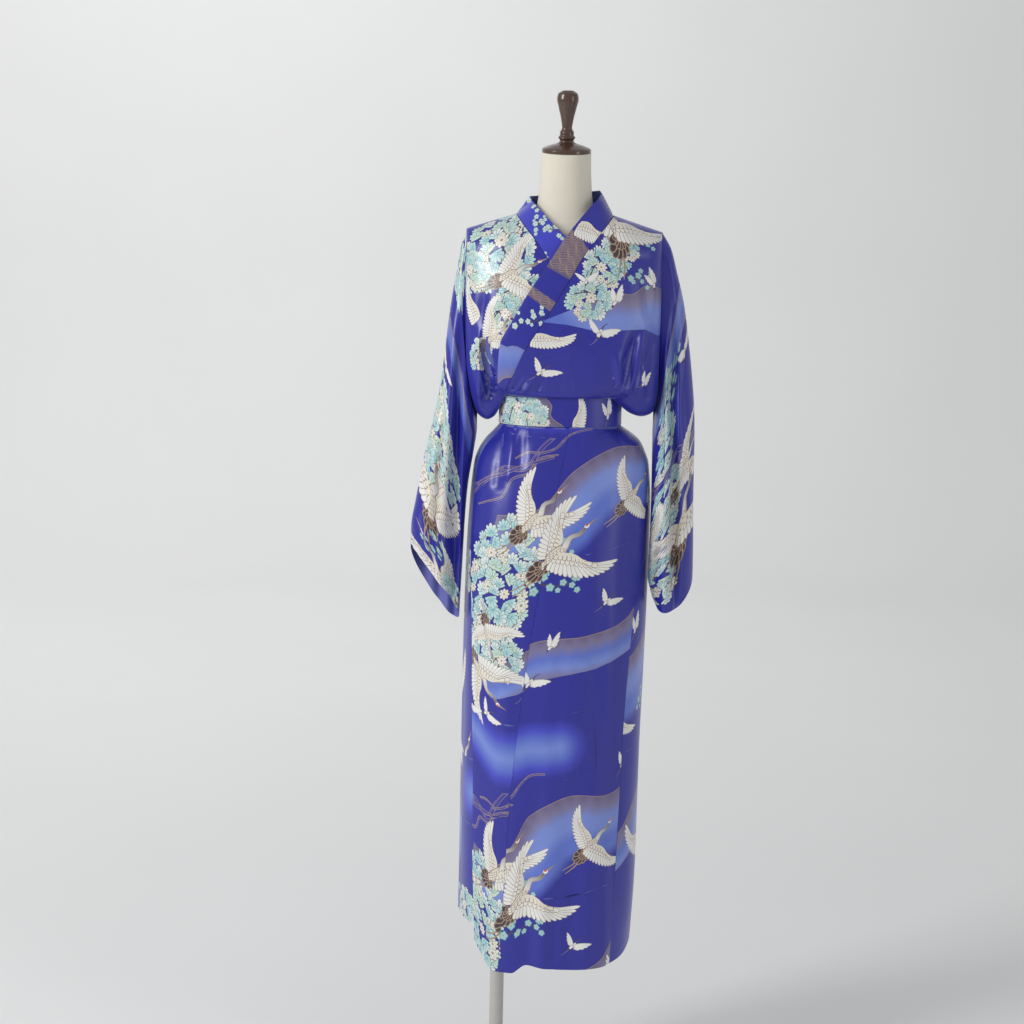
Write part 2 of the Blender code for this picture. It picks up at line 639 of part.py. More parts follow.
def collar_back(turn):
    """One section of the band behind the neck; turn runs from the right side (0) to the left (pi)."""
    x = np.array([NECKLINE[0] * math.cos(turn)])
    outer = bodice_place(x, neckline_row(x), False)[0] + np.array([0.0, *NECK_CLEAR])
    half, deep, top = COLLAR_TOP
    drop = COLLAR_SIDE_DROP * (1.0 - math.cos(turn))
    free = np.array([half * math.cos(turn), deep * math.sin(turn), top - drop])
    return outer, free, 0.0, 0.0


def collar_grid():
    """The band's outer points: its sections, with the points between its two edges laid on the chest."""
    shares = np.linspace(0.0, 1.0, COLUMNS["collar"])
    grid = []
    for outer, free, lie, rise in collar_sections():
        line = []
        for share in shares:
            place = outer + (free - outer) * share
            chest = -bodice_depth(np.array([place[0]]), np.array([place[2]]), True)[0] - rise
            hold = lie * math.sin(math.pi * share) ** COLLAR_ROUND
            place[1] = place[1] + (chest - place[1]) * hold
            line.append(place)
        grid.append(line)
    return np.array(grid)


def skirt_place(angle, z, tucks):
    """A point of the skirt at an angle from the middle of the front, in degrees, and a height."""
    turn = np.radians(angle)
    across = np.sin(turn)
    half = np.where(across < 0, read(SKIRT, "half_left", z), read(SKIRT, "half_right", z))
    deep = np.where(np.cos(turn) > 0, read(SKIRT, "front", z), read(SKIRT, "back", z))
    x = half * across
    depth = deep * profile(across, CLOTH_POWER)
    front = np.cos(turn) > 0
    fold = np.where(front, relief(SKIRT_FRONT_FOLDS, x, z), relief(SKIRT_BACK_FOLDS, x, z))
    fold = fold + np.where(front, relief(SKIRT_TUCKS, x, z), 0.0) * tucks
    depth = depth + fold * smooth(depth / deep / SKIRT_SIDE_FADE)
    return np.stack([x, np.where(front, -depth, depth), z], axis=-1)


def skirt_panel(start, end, hem, tucks=1.0):
    """A function for one panel of the skirt between two lines, from the waist (0) to the hem (1).

    Down to the hip the rows lie at even heights, and below it they come to follow the hem.
    """

    def place(u, v):
        bottom = column(hem, "z").mean()
        for _ in range(HEM_ROUNDS):
            z = SKIRT_TOP_Z - v - np.maximum(v - HIP, 0.0) / (1.0 - HIP) * (SKIRT_TOP_Z - 1.0 - bottom)
            angle = start(z) + (end(z) - start(z)) * u
            bottom = read(hem, "z", angle)
        return skirt_place(angle, z, tucks)

    return place


def under_skirt_inset(points, row):
    """How deep the under front of the skirt lies in the over front, most of all under its tucks."""
    under_tucks = step(row, UNDER_TUCKS_TOP) * step(points[..., 0], UNDER_TUCKS_X)
    slack = step(row, UNDER_SLACK_ROWS)
    deeper = (1.0 - slack) * UNDER_TUCKS + slack * UNDER_SLACK
    return (UNDER_SKIRT_INSET + under_tucks * deeper) * smooth(-points[..., 1] / UNDER_FADE)


def line(name, shift=0.0):
    """A line down the skirt, moved round by a number of degrees."""
    return lambda z: read(SKIRT_LINES, name, z) + shift


def level(angle):
    """A line that stays at one angle."""
    return lambda z: np.full_like(z, angle)


def sleeve_place(table, front_folds, back_folds, right):
    """A function for one sleeve: down from the armhole (0) to the cuff (1), and round it by columns."""
    sign = 1.0 if right else -1.0
    rows = np.arange(ARMHOLE_ROWS + 1, dtype=float)
    half = bodice_half(rows, right)
    edges = {}
    for front in (True, False):
        points = bodice_place(sign * half, rows, front)
        edges[front] = points + np.array([sign * SEAM * 1.5, 0.0, 0.0])
        edges[front][0, 1] = 0.0

    def armhole(place):
        """The armhole's edge, straight between the bodice's rows."""
        front = place <= ARMHOLE_ROWS
        row = np.where(front, ARMHOLE_ROWS - place, place - ARMHOLE_ROWS)
        sides = [np.stack([np.interp(row, rows, edges[side][:, i]) for i in range(3)], axis=-1)
                 for side in (True, False)]
        return np.where(front[..., None], *sides)

    def section(place, along):
        """The sleeve's own flattened tube."""
        turn = SLEEVE_SEAM_ANGLE + place / (2 * ARMHOLE_ROWS) * (2 * math.pi - 2 * SLEEVE_SEAM_ANGLE)
        share = (1.0 - np.cos(turn)) / 2
        at = {name: read(table, name, along) for name in SLEEVE_COLUMNS[1:]}
        x = at["under_x"] + (at["fold_x"] - at["under_x"]) * share
        z = at["under_z"] + (at["fold_z"] - at["under_z"]) * share
        middle = at["under_y"] + (at["fold_y"] - at["under_y"]) * share
        front = turn <= math.pi
        thick = at["half"] * np.sin(turn)
        hold = smooth(np.abs(np.sin(turn)) / SLEEVE_SIDE_FADE) * step(along, FOLD_START)
        fold = np.where(front, relief(front_folds, x, z), -relief(back_folds, x, z))
        cuff = step(along, (CUFF_START, 1.0)) * np.abs(np.sin(turn)) ** CUFF_ROUND
        z = z + np.where(front, *(CUFF_RIGHT if right else CUFF_LEFT)) * cuff
        return np.stack([x, middle - thick - fold * hold, z], axis=-1)

    def place(u, v):
        fade = (1.0 - smooth(v / ARMHOLE_END))[..., None]
        own = section(u, v)
        return own + (armhole(u) - section(u, np.zeros_like(v))) * fade

    return place


def material(name, finish):
    """A material of one colour, roughness and metallic value."""
    colour, roughness, metallic = finish
    made = bpy.data.materials.new(name)
    made.use_nodes = True
    shader = made.node_tree.nodes["Principled BSDF"]
    shader.inputs["Base Color"].default_value = (*colour, 1.0)
    shader.inputs["Roughness"].default_value = roughness
    shader.inputs["Metallic"].default_value = metallic
    made.diffuse_color = (*colour, 1.0)
    return made


def add_object(name, points, faces, finish):
    """A named object from points and faces, with its faces turned outward."""
    mesh = bpy.data.meshes.new(name)
    mesh.from_pydata([tuple(map(float, point)) for point in points], [], faces)
    shape = bmesh.new()
    shape.from_mesh(mesh)
    bmesh.ops.recalc_face_normals(shape, faces=shape.faces)
    shape.to_mesh(mesh)
    shape.free()
    mesh.materials.append(material(name, finish))
    made = bpy.data.objects.new(name, mesh)
    bpy.context.collection.objects.link(made)
    mesh.shade_smooth()
    mesh.set_sharp_from_angle(angle=math.radians(50))
    return made


def wall_between(name, outer, inner, finish):
    """A closed wall between two grids of points, with its four rims.

    Both sides are split along the same diagonals.
    """
    rows, columns = outer.shape[:2]
    points = np.concatenate([outer.reshape(-1, 3), inner.reshape(-1, 3)])
    count = rows * columns

    def number(row, col, side):
        return side * count + row * columns + col

    faces = []
    for row in range(rows - 1):
        for col in range(columns - 1):
            first = np.linalg.norm(outer[row, col] - outer[row + 1, col + 1])
            second = np.linalg.norm(outer[row, col + 1] - outer[row + 1, col])
            for side in (0, 1):
                a, b = number(row, col, side), number(row, col + 1, side)
                c, d = number(row + 1, col + 1, side), number(row + 1, col, side)
                halves = [(a, b, c), (a, c, d)] if first < second else [(a, b, d), (b, c, d)]
                faces += halves if side == 0 else [half[::-1] for half in halves]
    rim = [(0, col) for col in range(columns)]
    rim += [(row, columns - 1) for row in range(1, rows)]
    rim += [(rows - 1, col) for col in range(columns - 2, -1, -1)]
    rim += [(row, 0) for row in range(rows - 2, 0, -1)]
    for here, there in zip(rim, rim[1:] + rim[:1]):
        faces.append([number(*here, 1), number(*there, 1), number(*there, 0), number(*here, 0)])
    return add_object(name, points, faces, finish)


def turned_out(du, dv, out):
    """The direction away from the body, from two slopes of a sheet."""
    normal = np.cross(du, dv) * out
    return normal / np.maximum(np.linalg.norm(normal, axis=-1, keepdims=True), 1e-12)


def cloth(name, place, across, down, out, inset=None):
    """One piece of cloth, from a function that places its outer points, moved in by its inset if any."""
    u, v = np.meshgrid(np.asarray(across, float), np.asarray(down, float))
    low = np.maximum(u - STEP, min(across))
    high = np.minimum(u + STEP, max(across))
    top = np.maximum(v - STEP, min(down))
    bottom = np.minimum(v + STEP, max(down))
    normal = turned_out(place(high, v) - place(low, v), place(u, bottom) - place(u, top), out)
    outer = place(u, v)
    if inset:
        outer = outer - normal * inset(outer, v)[..., None]
    return wall_between(name, outer, outer - normal * WALL, SATIN)


def columns(name):
    """Even places across a piece, from 0 to 1."""
    return np.linspace(0, 1, COLUMNS[name])


def make_bodice():
    """The three pieces of the bodice."""
    down = np.arange(LAST_ROW + 1, dtype=float)
    cloth("bodice_over", over_place, columns("over"), down, -1)
    cloth("bodice_under", under_place, columns("under"), down, -1, under_inset)
    cloth("bodice_back", back_place, back_columns(), down, 1)


def make_collar():
    """The collar band."""
    outer = collar_grid()
    along = np.gradient(outer, axis=0)
    across = np.gradient(outer, axis=1)
    normal = turned_out(along, across, 1)
    wall_between("collar", outer, outer - normal * COLLAR_WALL, SATIN)


def make_skirt():
    """The four pieces of the skirt."""
    half = SKIRT_SEAM / 2
    over = skirt_panel(line("overlap_seam", half), line("right_seam", -half), HEM_OVER)
    overlap = skirt_panel(line("free_edge"), line("overlap_seam", -half), HEM_OVER)
    beneath = skirt_panel(level(LEFT_SEAM + half), line("hidden_edge"), HEM_UNDER, 0.0)
    back = skirt_panel(line("right_seam", half), level(LEFT_SEAM + 360 - half), HEM_OVER)
    cloth("skirt_over", over, columns("skirt_over"), SKIRT_ROWS, -1)
    cloth("skirt_overlap", overlap, columns("skirt_overlap"), SKIRT_ROWS, -1)
    cloth("skirt_under", beneath, columns("skirt_under"), SKIRT_ROWS, -1, under_skirt_inset)
    cloth("skirt_back", back, columns("skirt_back"), SKIRT_ROWS, -1)


def make_sleeves():
    """The two sleeves."""
    across = np.arange(0, 2 * ARMHOLE_ROWS + SLEEVE_COLUMN / 2, SLEEVE_COLUMN)
    left = sleeve_place(SLEEVE_LEFT, SLEEVE_LEFT_FRONT_FOLDS, SLEEVE_LEFT_BACK_FOLDS, False)
    right = sleeve_place(SLEEVE_RIGHT, SLEEVE_RIGHT_FRONT_FOLDS, SLEEVE_RIGHT_BACK_FOLDS, True)
    cloth("sleeve_left", left, across, SLEEVE_ROWS, 1)
    cloth("sleeve_right", right, across, SLEEVE_ROWS, -1)


def ring(half, front, back, z, sides, power):
    """A closed section: half width, depth in front and behind, and height."""
    turn = np.arange(sides) * 2 * math.pi / sides
    across = np.sin(turn)
    deep = np.where(np.cos(turn) > 0, front, back)
    depth = deep * profile(across, power) * np.where(np.cos(turn) > 0, -1.0, 1.0)
    return np.stack([half * across, depth, np.full(sides, z)], axis=-1)


def loft(name, rings, finish, tip=None):
    """A closed body through rings, with flat ends or a pointed top."""
    sides = len(rings[0])
    points = list(np.concatenate(rings))
    faces = [list(range(sides))[::-1]]
    for level_number in range(len(rings) - 1):
        for i in range(sides):
            here = level_number * sides + i
            there = level_number * sides + (i + 1) % sides
            faces.append([here, there, there + sides, here + sides])
    last = (len(rings) - 1) * sides
    if tip is None:
        faces.append([last + i for i in range(sides)])
    else:
        points.append(tip)
        faces += [[last + i, last + (i + 1) % sides, len(points) - 1] for i in range(sides)]
    return add_object(name, points, faces, finish)


def make_belt():
    """The belt, a band with square edges."""
    half, deep = BELT_HALF
    outer = ring(half, deep, deep, 0.0, BELT_SIDES, CLOTH_POWER)
    inner = ring(half - BELT_WALL, deep - BELT_WALL, deep - BELT_WALL, 0.0, BELT_SIDES, CLOTH_POWER)
    up = np.array([0.0, 0.0, 1.0])
    loops = [outer + up * BELT_Z[0], outer + up * BELT_Z[1], inner + up * BELT_Z[1], inner + up * BELT_Z[0]]
    faces = []
    for loop in range(4):
        for i in range(BELT_SIDES):
            after = (i + 1) % BELT_SIDES
            beyond = (loop + 1) % 4 * BELT_SIDES
            faces.append([loop * BELT_SIDES + i, loop * BELT_SIDES + after, beyond + after, beyond + i])
    add_object("belt", np.concatenate(loops), faces, SATIN)


def make_form():
    """The limbless form: torso, shoulders and neck in one body, its top leaning to the front."""
    rings = []
    for z, half, front, back in TORSO["rows"]:
        rings.append(ring(half, front, back, z, FORM_SIDES, FORM_POWER))
    for z, half, depth in NECK["rows"]:
        rings.append(ring(half, depth, depth, z, FORM_SIDES, 2.0))
    top = ring(NECK_TOP_RADIUS, NECK_TOP_RADIUS, NECK_TOP_RADIUS, NECK_TOP_Z, FORM_SIDES, 2.0)
    top[:, 2] = top[:, 2] + top[:, 1] * math.tan(NECK_TILT)
    rings.append(top)
    loft("form_torso", rings, FORM_CLOTH)


def make_cap():
    """The turned wooden cap, square to the leaning top of the neck."""
    lean = np.array([[1, 0, 0],
                     [0, math.cos(NECK_TILT), -math.sin(NECK_TILT)],
                     [0, math.sin(NECK_TILT), math.cos(NECK_TILT)]])
    seat = np.array([0.0, 0.0, NECK_TOP_Z])
    rings = []
    for radius, height in CAP["rows"]:
        rings.append(ring(radius, radius, radius, height, ROUND_SIDES, 2.0) @ lean.T + seat)
    loft("neck_cap", rings, WOOD, tip=lean @ np.array([0, 0, CAP_HEIGHT]) + seat)


def make_stand():
    """The round base plate and the pole that carries the form."""
    radii = [BASE_RADIUS - BASE_EDGE / 2, BASE_RADIUS, BASE_RADIUS, BASE_RADIUS - BASE_EDGE]
    heights = [0.0, BASE_EDGE / 2, BASE_HEIGHT - BASE_EDGE, BASE_HEIGHT]
    rings = [ring(r, r, r, z, BASE_SIDES, 2.0) for r, z in zip(radii, heights)]
    loft("base_plate", rings, PAINTED_STEEL)
    ends = (BASE_HEIGHT + GAP, TORSO_BOTTOM_Z - GAP)
    shift = np.array([POLE_X, 0.0, 0.0])
    rings = [ring(POLE_RADIUS, POLE_RADIUS, POLE_RADIUS, z, ROUND_SIDES, 2.0) + shift for z in ends]
    loft("pole", rings, PAINTED_STEEL)


def main():
    """Clear the scene and make every piece."""
    for old in list(bpy.data.objects):
        bpy.data.objects.remove(old, do_unlink=True)
    make_bodice()
    make_collar()
    make_skirt()
    make_sleeves()
    make_belt()
    make_form()
    make_cap()
    make_stand()


main()
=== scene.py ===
"""Looks of the kimono dress on its form: thin printed satin, and the form and stand that carry it.

Metres, +Z up, as in the part's source, from which the tables and functions of the forms are taken over. The
print is cut into the cloth: each piece is laid out flat, divided along the outlines of drawn motifs, and put
back on its form.
"""
import math

import bpy
import numpy as np
from mathutils import Matrix, Vector
from mathutils.geometry import delaunay_2d_cdt


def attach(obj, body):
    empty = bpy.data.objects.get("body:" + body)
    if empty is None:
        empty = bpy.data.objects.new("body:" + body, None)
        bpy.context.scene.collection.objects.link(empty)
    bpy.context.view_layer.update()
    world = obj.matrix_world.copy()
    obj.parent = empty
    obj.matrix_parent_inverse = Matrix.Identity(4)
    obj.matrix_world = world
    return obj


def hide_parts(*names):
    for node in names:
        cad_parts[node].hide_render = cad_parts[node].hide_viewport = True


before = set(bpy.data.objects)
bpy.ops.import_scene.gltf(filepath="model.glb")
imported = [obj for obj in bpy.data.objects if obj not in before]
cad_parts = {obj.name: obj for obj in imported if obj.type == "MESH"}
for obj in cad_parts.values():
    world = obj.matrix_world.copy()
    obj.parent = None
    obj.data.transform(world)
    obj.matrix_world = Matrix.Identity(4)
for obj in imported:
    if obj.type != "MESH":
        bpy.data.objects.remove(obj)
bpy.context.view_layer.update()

# Cloth
COLLAR_WALL = 0.0026  # the collar band is folded double
SEAM = 0.0003  # between pieces that are sewn together
COLLAR_SEAM = 0.0009  # the same for the collar's thick edge, measured sideways
STEP = 1e-4  # how far apart two points are taken to find a slope
SEAM_ROUNDS = 25  # how often a seam's place is worked out anew until it stands
HEM_ROUNDS = 5

# The wrap's layers, measured in from the outer face of the over front
UNDER_INSET = 0.0038
UNDER_FADE = 0.030  # from the armhole, where it meets the back, to its full depth
UNDER_FADE_ROWS = 2.0  # the same below the shoulder line
UNDER_SKIRT_INSET = 0.0026
UNDER_TUCKS = 0.0040  # more below the belt, where the over front is tucked
UNDER_TUCKS_X = (-0.140, -0.110)  # where that begins, and where it is at its full depth
UNDER_TUCKS_TOP = (0.026, 0.046)  # the same down the skirt, as shares of its length
UNDER_SLACK = 0.0020  # more below the tucks
UNDER_SLACK_ROWS = (0.12, 0.24)
OVER_COLLAR_RISE = 0.0008
UNDER_COLLAR_INSET = 0.0042

# Heights above the floor
CHEST_Z = 1.520  # the shoulders round off above this height
SHOULDER_TIP_Z = 1.5635
SHOULDER_SLOPE = 0.32
SHOULDER_HALF = 0.1703
BELT_Z = (1.2260, 1.2750)
TORSO_BOTTOM_Z = 0.950
NECK_TOP_Z = 1.697

# Belt
BELT_HALF = (0.1085, 0.0850)  # half width and half depth, outside
BELT_WALL = 0.0023

# Stand
BASE_RADIUS = 0.180
BASE_HEIGHT = 0.010
BASE_EDGE = 0.002
POLE_RADIUS = 0.0127
POLE_X = -0.0915
NECK_TILT = math.radians(8.0)  # the top of the neck leans to the front
GAP = 0.0003

# Roundness of the sections: 2 is an ellipse, more is flatter in front
CLOTH_POWER = 2.3
FORM_POWER = 2.2

# The bodice, a row for each section from the shoulder down. Above row 3 the shoulder formula takes over. The
# last rows turn under at the sides, come up inside, go over the belt's top edge and end behind the belt.
BODICE = {
    "columns": "row z_left z_front z_right z_back half_left half_right front back armhole".split(),
    "rows": [
        (3, 1.5200, 1.5200, 1.5200, 1.5200, 0.1703, 0.1703, 0.0930, 0.0940, 0.0200),
        (4, 1.4800, 1.4800, 1.4800, 1.4800, 0.1702, 0.1703, 0.1080, 0.1000, 0.0260),
        (5, 1.4300, 1.4300, 1.4300, 1.4300, 0.1697, 0.1703, 0.1150, 0.1010, 0.0300),
        (6, 1.3800, 1.3800, 1.3800, 1.3800, 0.1690, 0.1705, 0.1150, 0.0990, 0.0320),
        (7, 1.3350, 1.3380, 1.3350, 1.3380, 0.1670, 0.1710, 0.1090, 0.0960, 0.0300),
        (8, 1.2950, 1.3080, 1.2980, 1.3080, 0.1615, 0.1710, 0.1025, 0.0930, 0.0240),
        (9, 1.2620, 1.2930, 1.2680, 1.2920, 0.1540, 0.1690, 0.0980, 0.0905, 0.0140),
        (10, 1.2400, 1.2850, 1.2500, 1.2840, 0.1460, 0.1640, 0.0945, 0.0900, 0.0011),
        (11, 1.2310, 1.2800, 1.2425, 1.2795, 0.1320, 0.1480, 0.0925, 0.0890, 0.00015),
        (12, 1.2375, 1.2770, 1.2470, 1.2770, 0.1190, 0.1300, 0.0900, 0.0878, 0.00015),
        (13, 1.2560, 1.2758, 1.2600, 1.2758, 0.1115, 0.1150, 0.0880, 0.0868, 0.00015),
        (14, 1.2720, 1.2755, 1.2725, 1.2755, 0.1091, 0.1093, 0.0865, 0.0859, 0.00015),
        (15, 1.2755, 1.2755, 1.2755, 1.2755, 0.1088, 0.1088, 0.0850, 0.0850, 0.00015),
        (16, 1.2755, 1.2755, 1.2755, 1.2755, 0.1058, 0.1058, 0.0823, 0.0823, 0.00015),
        (17, 1.2720, 1.2720, 1.2720, 1.2720, 0.1056, 0.1056, 0.0821, 0.0821, 0.00015),
        (18, 1.25065, 1.25065, 1.25065, 1.25065, 0.1056, 0.1056, 0.0821, 0.0821, 0.00015),
    ],
}
SHOULDER_ROWS = 3
ARMHOLE_ROWS = 10
LAST_ROW = 18
DROOP_LEFT = (0.82, 0.985)  # the share of the half width over which the sides droop past the belt
DROOP_RIGHT = (0.72, 0.97)
TURN_ROW = 10  # below this row a front's free edge goes in behind the belt, straight down
HIDDEN_NARROWING = 0.16  # how far that hidden end draws in, as a share
HIDDEN_ROWS = 2.0  # over how many rows it does so
OUTER_ROWS = 9  # rows of the table in which the front and back still go down, from the first

# Where the over front ends at the collar seam, and where the under front does
OVER_SEAM = {
    "columns": "z x".split(),
    "rows": [
        (1.2500, -0.0960),
        (1.2870, -0.0945),
        (1.3190, -0.0817),
        (1.3560, -0.0661),
        (1.3890, -0.0457),
        (1.4320, -0.0192),
        (1.4676, 0.0029),
        (1.5190, 0.0320),
        (1.5550, 0.0580),
        (1.5900, 0.0850),
        (1.6000, 0.0900),
    ],
}
UNDER_SEAM = {
    "columns": "z x".split(),
    "rows": [
        (1.2500, 0.0600),
        (1.2870, 0.0585),
        (1.3560, 0.0420),
        (1.4180, 0.0200),
        (1.4676, -0.0020),
        (1.5140, -0.0292),
        (1.5490, -0.0536),
        (1.5900, -0.0850),
        (1.6000, -0.0900),
    ],
}

# The collar's free edge, a row for each section: the number of the bodice row on the front stretches, its
# place, and how far it lies on the chest (1) or stands free round the neck (0)
OVER_EDGE = {
    "columns": "row x y z lie".split(),
    "rows": [
        (0, 0.0640, 0.0000, 1.6280, 0.0),
        (1, 0.0570, -0.0310, 1.6190, 0.0),
        (2, 0.0400, -0.0550, 1.6010, 0.15),
        (3, 0.0040, -0.0740, 1.5570, 1.0),
        (4, -0.0285, -0.0950, 1.5060, 1.0),
        (5, -0.0590, -0.1150, 1.4600, 1.0),
        (6, -0.0870, -0.1150, 1.4100, 1.0),
        (7, -0.1090, -0.1000, 1.3650, 1.0),
        (8, -0.1115, -0.0900, 1.3240, 1.0),
        (9, -0.1115, -0.0850, 1.3010, 1.0),
        (10, -0.1100, -0.0800, 1.2870, 1.0),
        (11, -0.1040, -0.0780, 1.2805, 1.0),
    ],
}
UNDER_EDGE = {
    "columns": "row x y z lie".split(),
    "rows": [
        (0, -0.0595, 0.0000, 1.6150, 0.0),
        (1, -0.0515, -0.0300, 1.6060, 0.0),
        (2, -0.0325, -0.0550, 1.5860, 0.15),
        (3, 0.0070, -0.0740, 1.5450, 1.0),
        (4, 0.0300, -0.0950, 1.5060, 1.0),
        (5, 0.0520, -0.1150, 1.4570, 1.0),
        (6, 0.0730, -0.1150, 1.4070, 1.0),
        (7, 0.0870, -0.1000, 1.3600, 1.0),
        (8, 0.0960, -0.0900, 1.3260, 1.0),
        (9, 0.1000, -0.0850, 1.3080, 1.0),
    ],
}
COLLAR_ROWS = {"over": 11, "under": 9}  # the bodice row at which each end of the band lies
NECKLINE = (0.0850, 0.0700)  # half width and half depth of the back neckline, seen from above
COLLAR_TOP = (0.0615, 0.0605, 1.634)  # half width, half depth and height of the band's edge behind the neck
COLLAR_SIDE_DROP = 0.006  # how much lower that edge is at its left end than at its right
COLLAR_LIFT = 0.0004  # how far the band's seam edge lies above the shoulder line
NECK_CLEAR = (-0.0002, 0.0005)  # how far the same edge lies in and up from the back's neckline
COLLAR_ROUND = 0.5  # how soon the band comes to lie on the chest between its edges

# The skirt, a row for each height
SKIRT = {
    "columns": "z half_left half_right front back".split(),
    "rows": [
        (1.2510, 0.1056, 0.1056, 0.0821, 0.0821),
        (1.2252, 0.1056, 0.1056, 0.0821, 0.0821),
        (1.2215, 0.1080, 0.1100, 0.0850, 0.0850),
        (1.2110, 0.1170, 0.1265, 0.0905, 0.0910),
        (1.1960, 0.1310, 0.1430, 0.0985, 0.0990),
        (1.1770, 0.1430, 0.1525, 0.1060, 0.1070),
        (1.1570, 0.1500, 0.1590, 0.1120, 0.1130),
        (1.0870, 0.1570, 0.1640, 0.1220, 0.1210),
        (0.9790, 0.1620, 0.1635, 0.1280, 0.1245),
        (0.8150, 0.1645, 0.1610, 0.1310, 0.1260),
        (0.6300, 0.1650, 0.1570, 0.1330, 0.1270),
        (0.4420, 0.1650, 0.1560, 0.1360, 0.1290),
        (0.2500, 0.1655, 0.1480, 0.1400, 0.1310),
    ],
}
SKIRT_TOP_Z = 1.25035
HIP = 0.10  # how far below the waist the sections begin to follow the hem
# Lines down the skirt, as degrees round the section from the middle of the front: the wrap's free edge, the
# seam of the overlap strip, the seam at the right side and the hidden edge of the under front
SKIRT_LINES = {
    "columns": "z free_edge overlap_seam right_seam hidden_edge".split(),
    "rows": [
        (1.2510, -71.0, 9.0, 80.0, 40.0),
        (1.1570, -72.0, 1.0, 74.0, 42.0),
        (1.0000, -70.0, -8.0, 62.0, 42.0),
        (0.8150, -64.0, -18.0, 53.0, 42.0),
        (0.6300, -60.0, -25.0, 50.0, 42.0),
        (0.4420, -57.0, -29.5, 48.0, 42.0),
        (0.2500, -52.0, -33.0, 46.0, 40.0),
    ],
}
LEFT_SEAM = -90.0
SKIRT_SEAM = 0.16  # the gap at a seam, in degrees
# The hem's height at points round the skirt, in degrees from the middle of the front
HEM_OVER = {
    "columns": "angle z".split(),
    "rows": [
        (-62, 0.330),
        (-52, 0.300),
        (-42, 0.268),
        (-36, 0.256),
        (-24, 0.256),
        (-14, 0.272),
        (0, 0.268),
        (18, 0.266),
        (40, 0.268),
        (62, 0.274),
        (90, 0.290),
        (180, 0.284),
        (270, 0.330),
    ],
}
HEM_UNDER = {"columns": "angle z".split(), "rows": [(-90, 0.336), (-60, 0.330), (-20, 0.318), (60, 0.300)]}

# Folds, each a line seen from the front or the back: its two ends, its width and its height, below zero in a
# trough
FOLD_COLUMNS = "x_top z_top x_bottom z_bottom width height".split()
FOLD_RISE = 0.35  # the share of its length over which a fold comes up
FOLD_END = 0.12  # and over which it goes down again
SIDE_FADE = 0.06  # the share of the bodice's half width over which folds end at its sides
SKIRT_SIDE_FADE = 0.5  # the same on the skirt, as a share of its depth
SLEEVE_SIDE_FADE = 0.45
BODICE_FRONT_FOLDS = {
    "columns": FOLD_COLUMNS,
    "rows": [
        (0.1460, 1.430, 0.1180, 1.283, 0.0070, 0.0060),
        (0.1250, 1.410, 0.1120, 1.285, 0.0075, -0.0085),
        (0.0900, 1.370, 0.1080, 1.283, 0.0090, 0.0045),
        (0.1570, 1.420, 0.1480, 1.262, 0.0080, -0.0060),
        (-0.1490, 1.420, -0.1420, 1.262, 0.0070, 0.0055),
        (-0.1330, 1.400, -0.1270, 1.262, 0.0080, -0.0095),
        (-0.1240, 1.370, -0.1215, 1.275, 0.0050, 0.0050),
    ],
}
BODICE_BACK_FOLDS = {
    "columns": FOLD_COLUMNS,
    "rows": [
        (-0.1350, 1.450, -0.1180, 1.270, 0.0100, -0.0080),
        (-0.1080, 1.420, -0.1020, 1.285, 0.0090, 0.0050),
        (0.0000, 1.380, 0.0000, 1.282, 0.0180, 0.0040),
        (0.1080, 1.430, 0.1030, 1.285, 0.0090, 0.0050),
        (0.1360, 1.450, 0.1230, 1.270, 0.0100, -0.0080),
    ],
}
SKIRT_TUCKS = {
    "columns": FOLD_COLUMNS,
    "rows": [
        (-0.0990, 1.222, -0.1100, 1.110, 0.0095, -0.0040),
        (-0.0830, 1.222, -0.0910, 1.130, 0.0080, 0.0030),
        (-0.0660, 1.222, -0.0700, 1.150, 0.0095, -0.0040),
    ],
}
SKIRT_FRONT_FOLDS = {
    "columns": FOLD_COLUMNS,
    "rows": [
        (0.0400, 0.700, 0.0250, 0.230, 0.0220, -0.0035),
        (-0.0400, 0.620, -0.0380, 0.230, 0.0200, -0.0060),
        (0.0900, 0.560, 0.0850, 0.230, 0.0180, 0.0040),
    ],
}
SKIRT_BACK_FOLDS = {
    "columns": FOLD_COLUMNS,
    "rows": [
        (-0.0700, 1.218, -0.0780, 0.980, 0.0120, -0.0060),
        (-0.0200, 1.218, -0.0240, 1.020, 0.0120, 0.0045),
        (0.0350, 1.218, 0.0380, 0.960, 0.0120, -0.0060),
        (0.0850, 1.218, 0.0900, 1.020, 0.0110, 0.0040),
        (-0.0900, 0.800, -0.0800, 0.230, 0.0260, -0.0060),
        (0.0500, 0.760, 0.0450, 0.230, 0.0300, -0.0065),
    ],
}

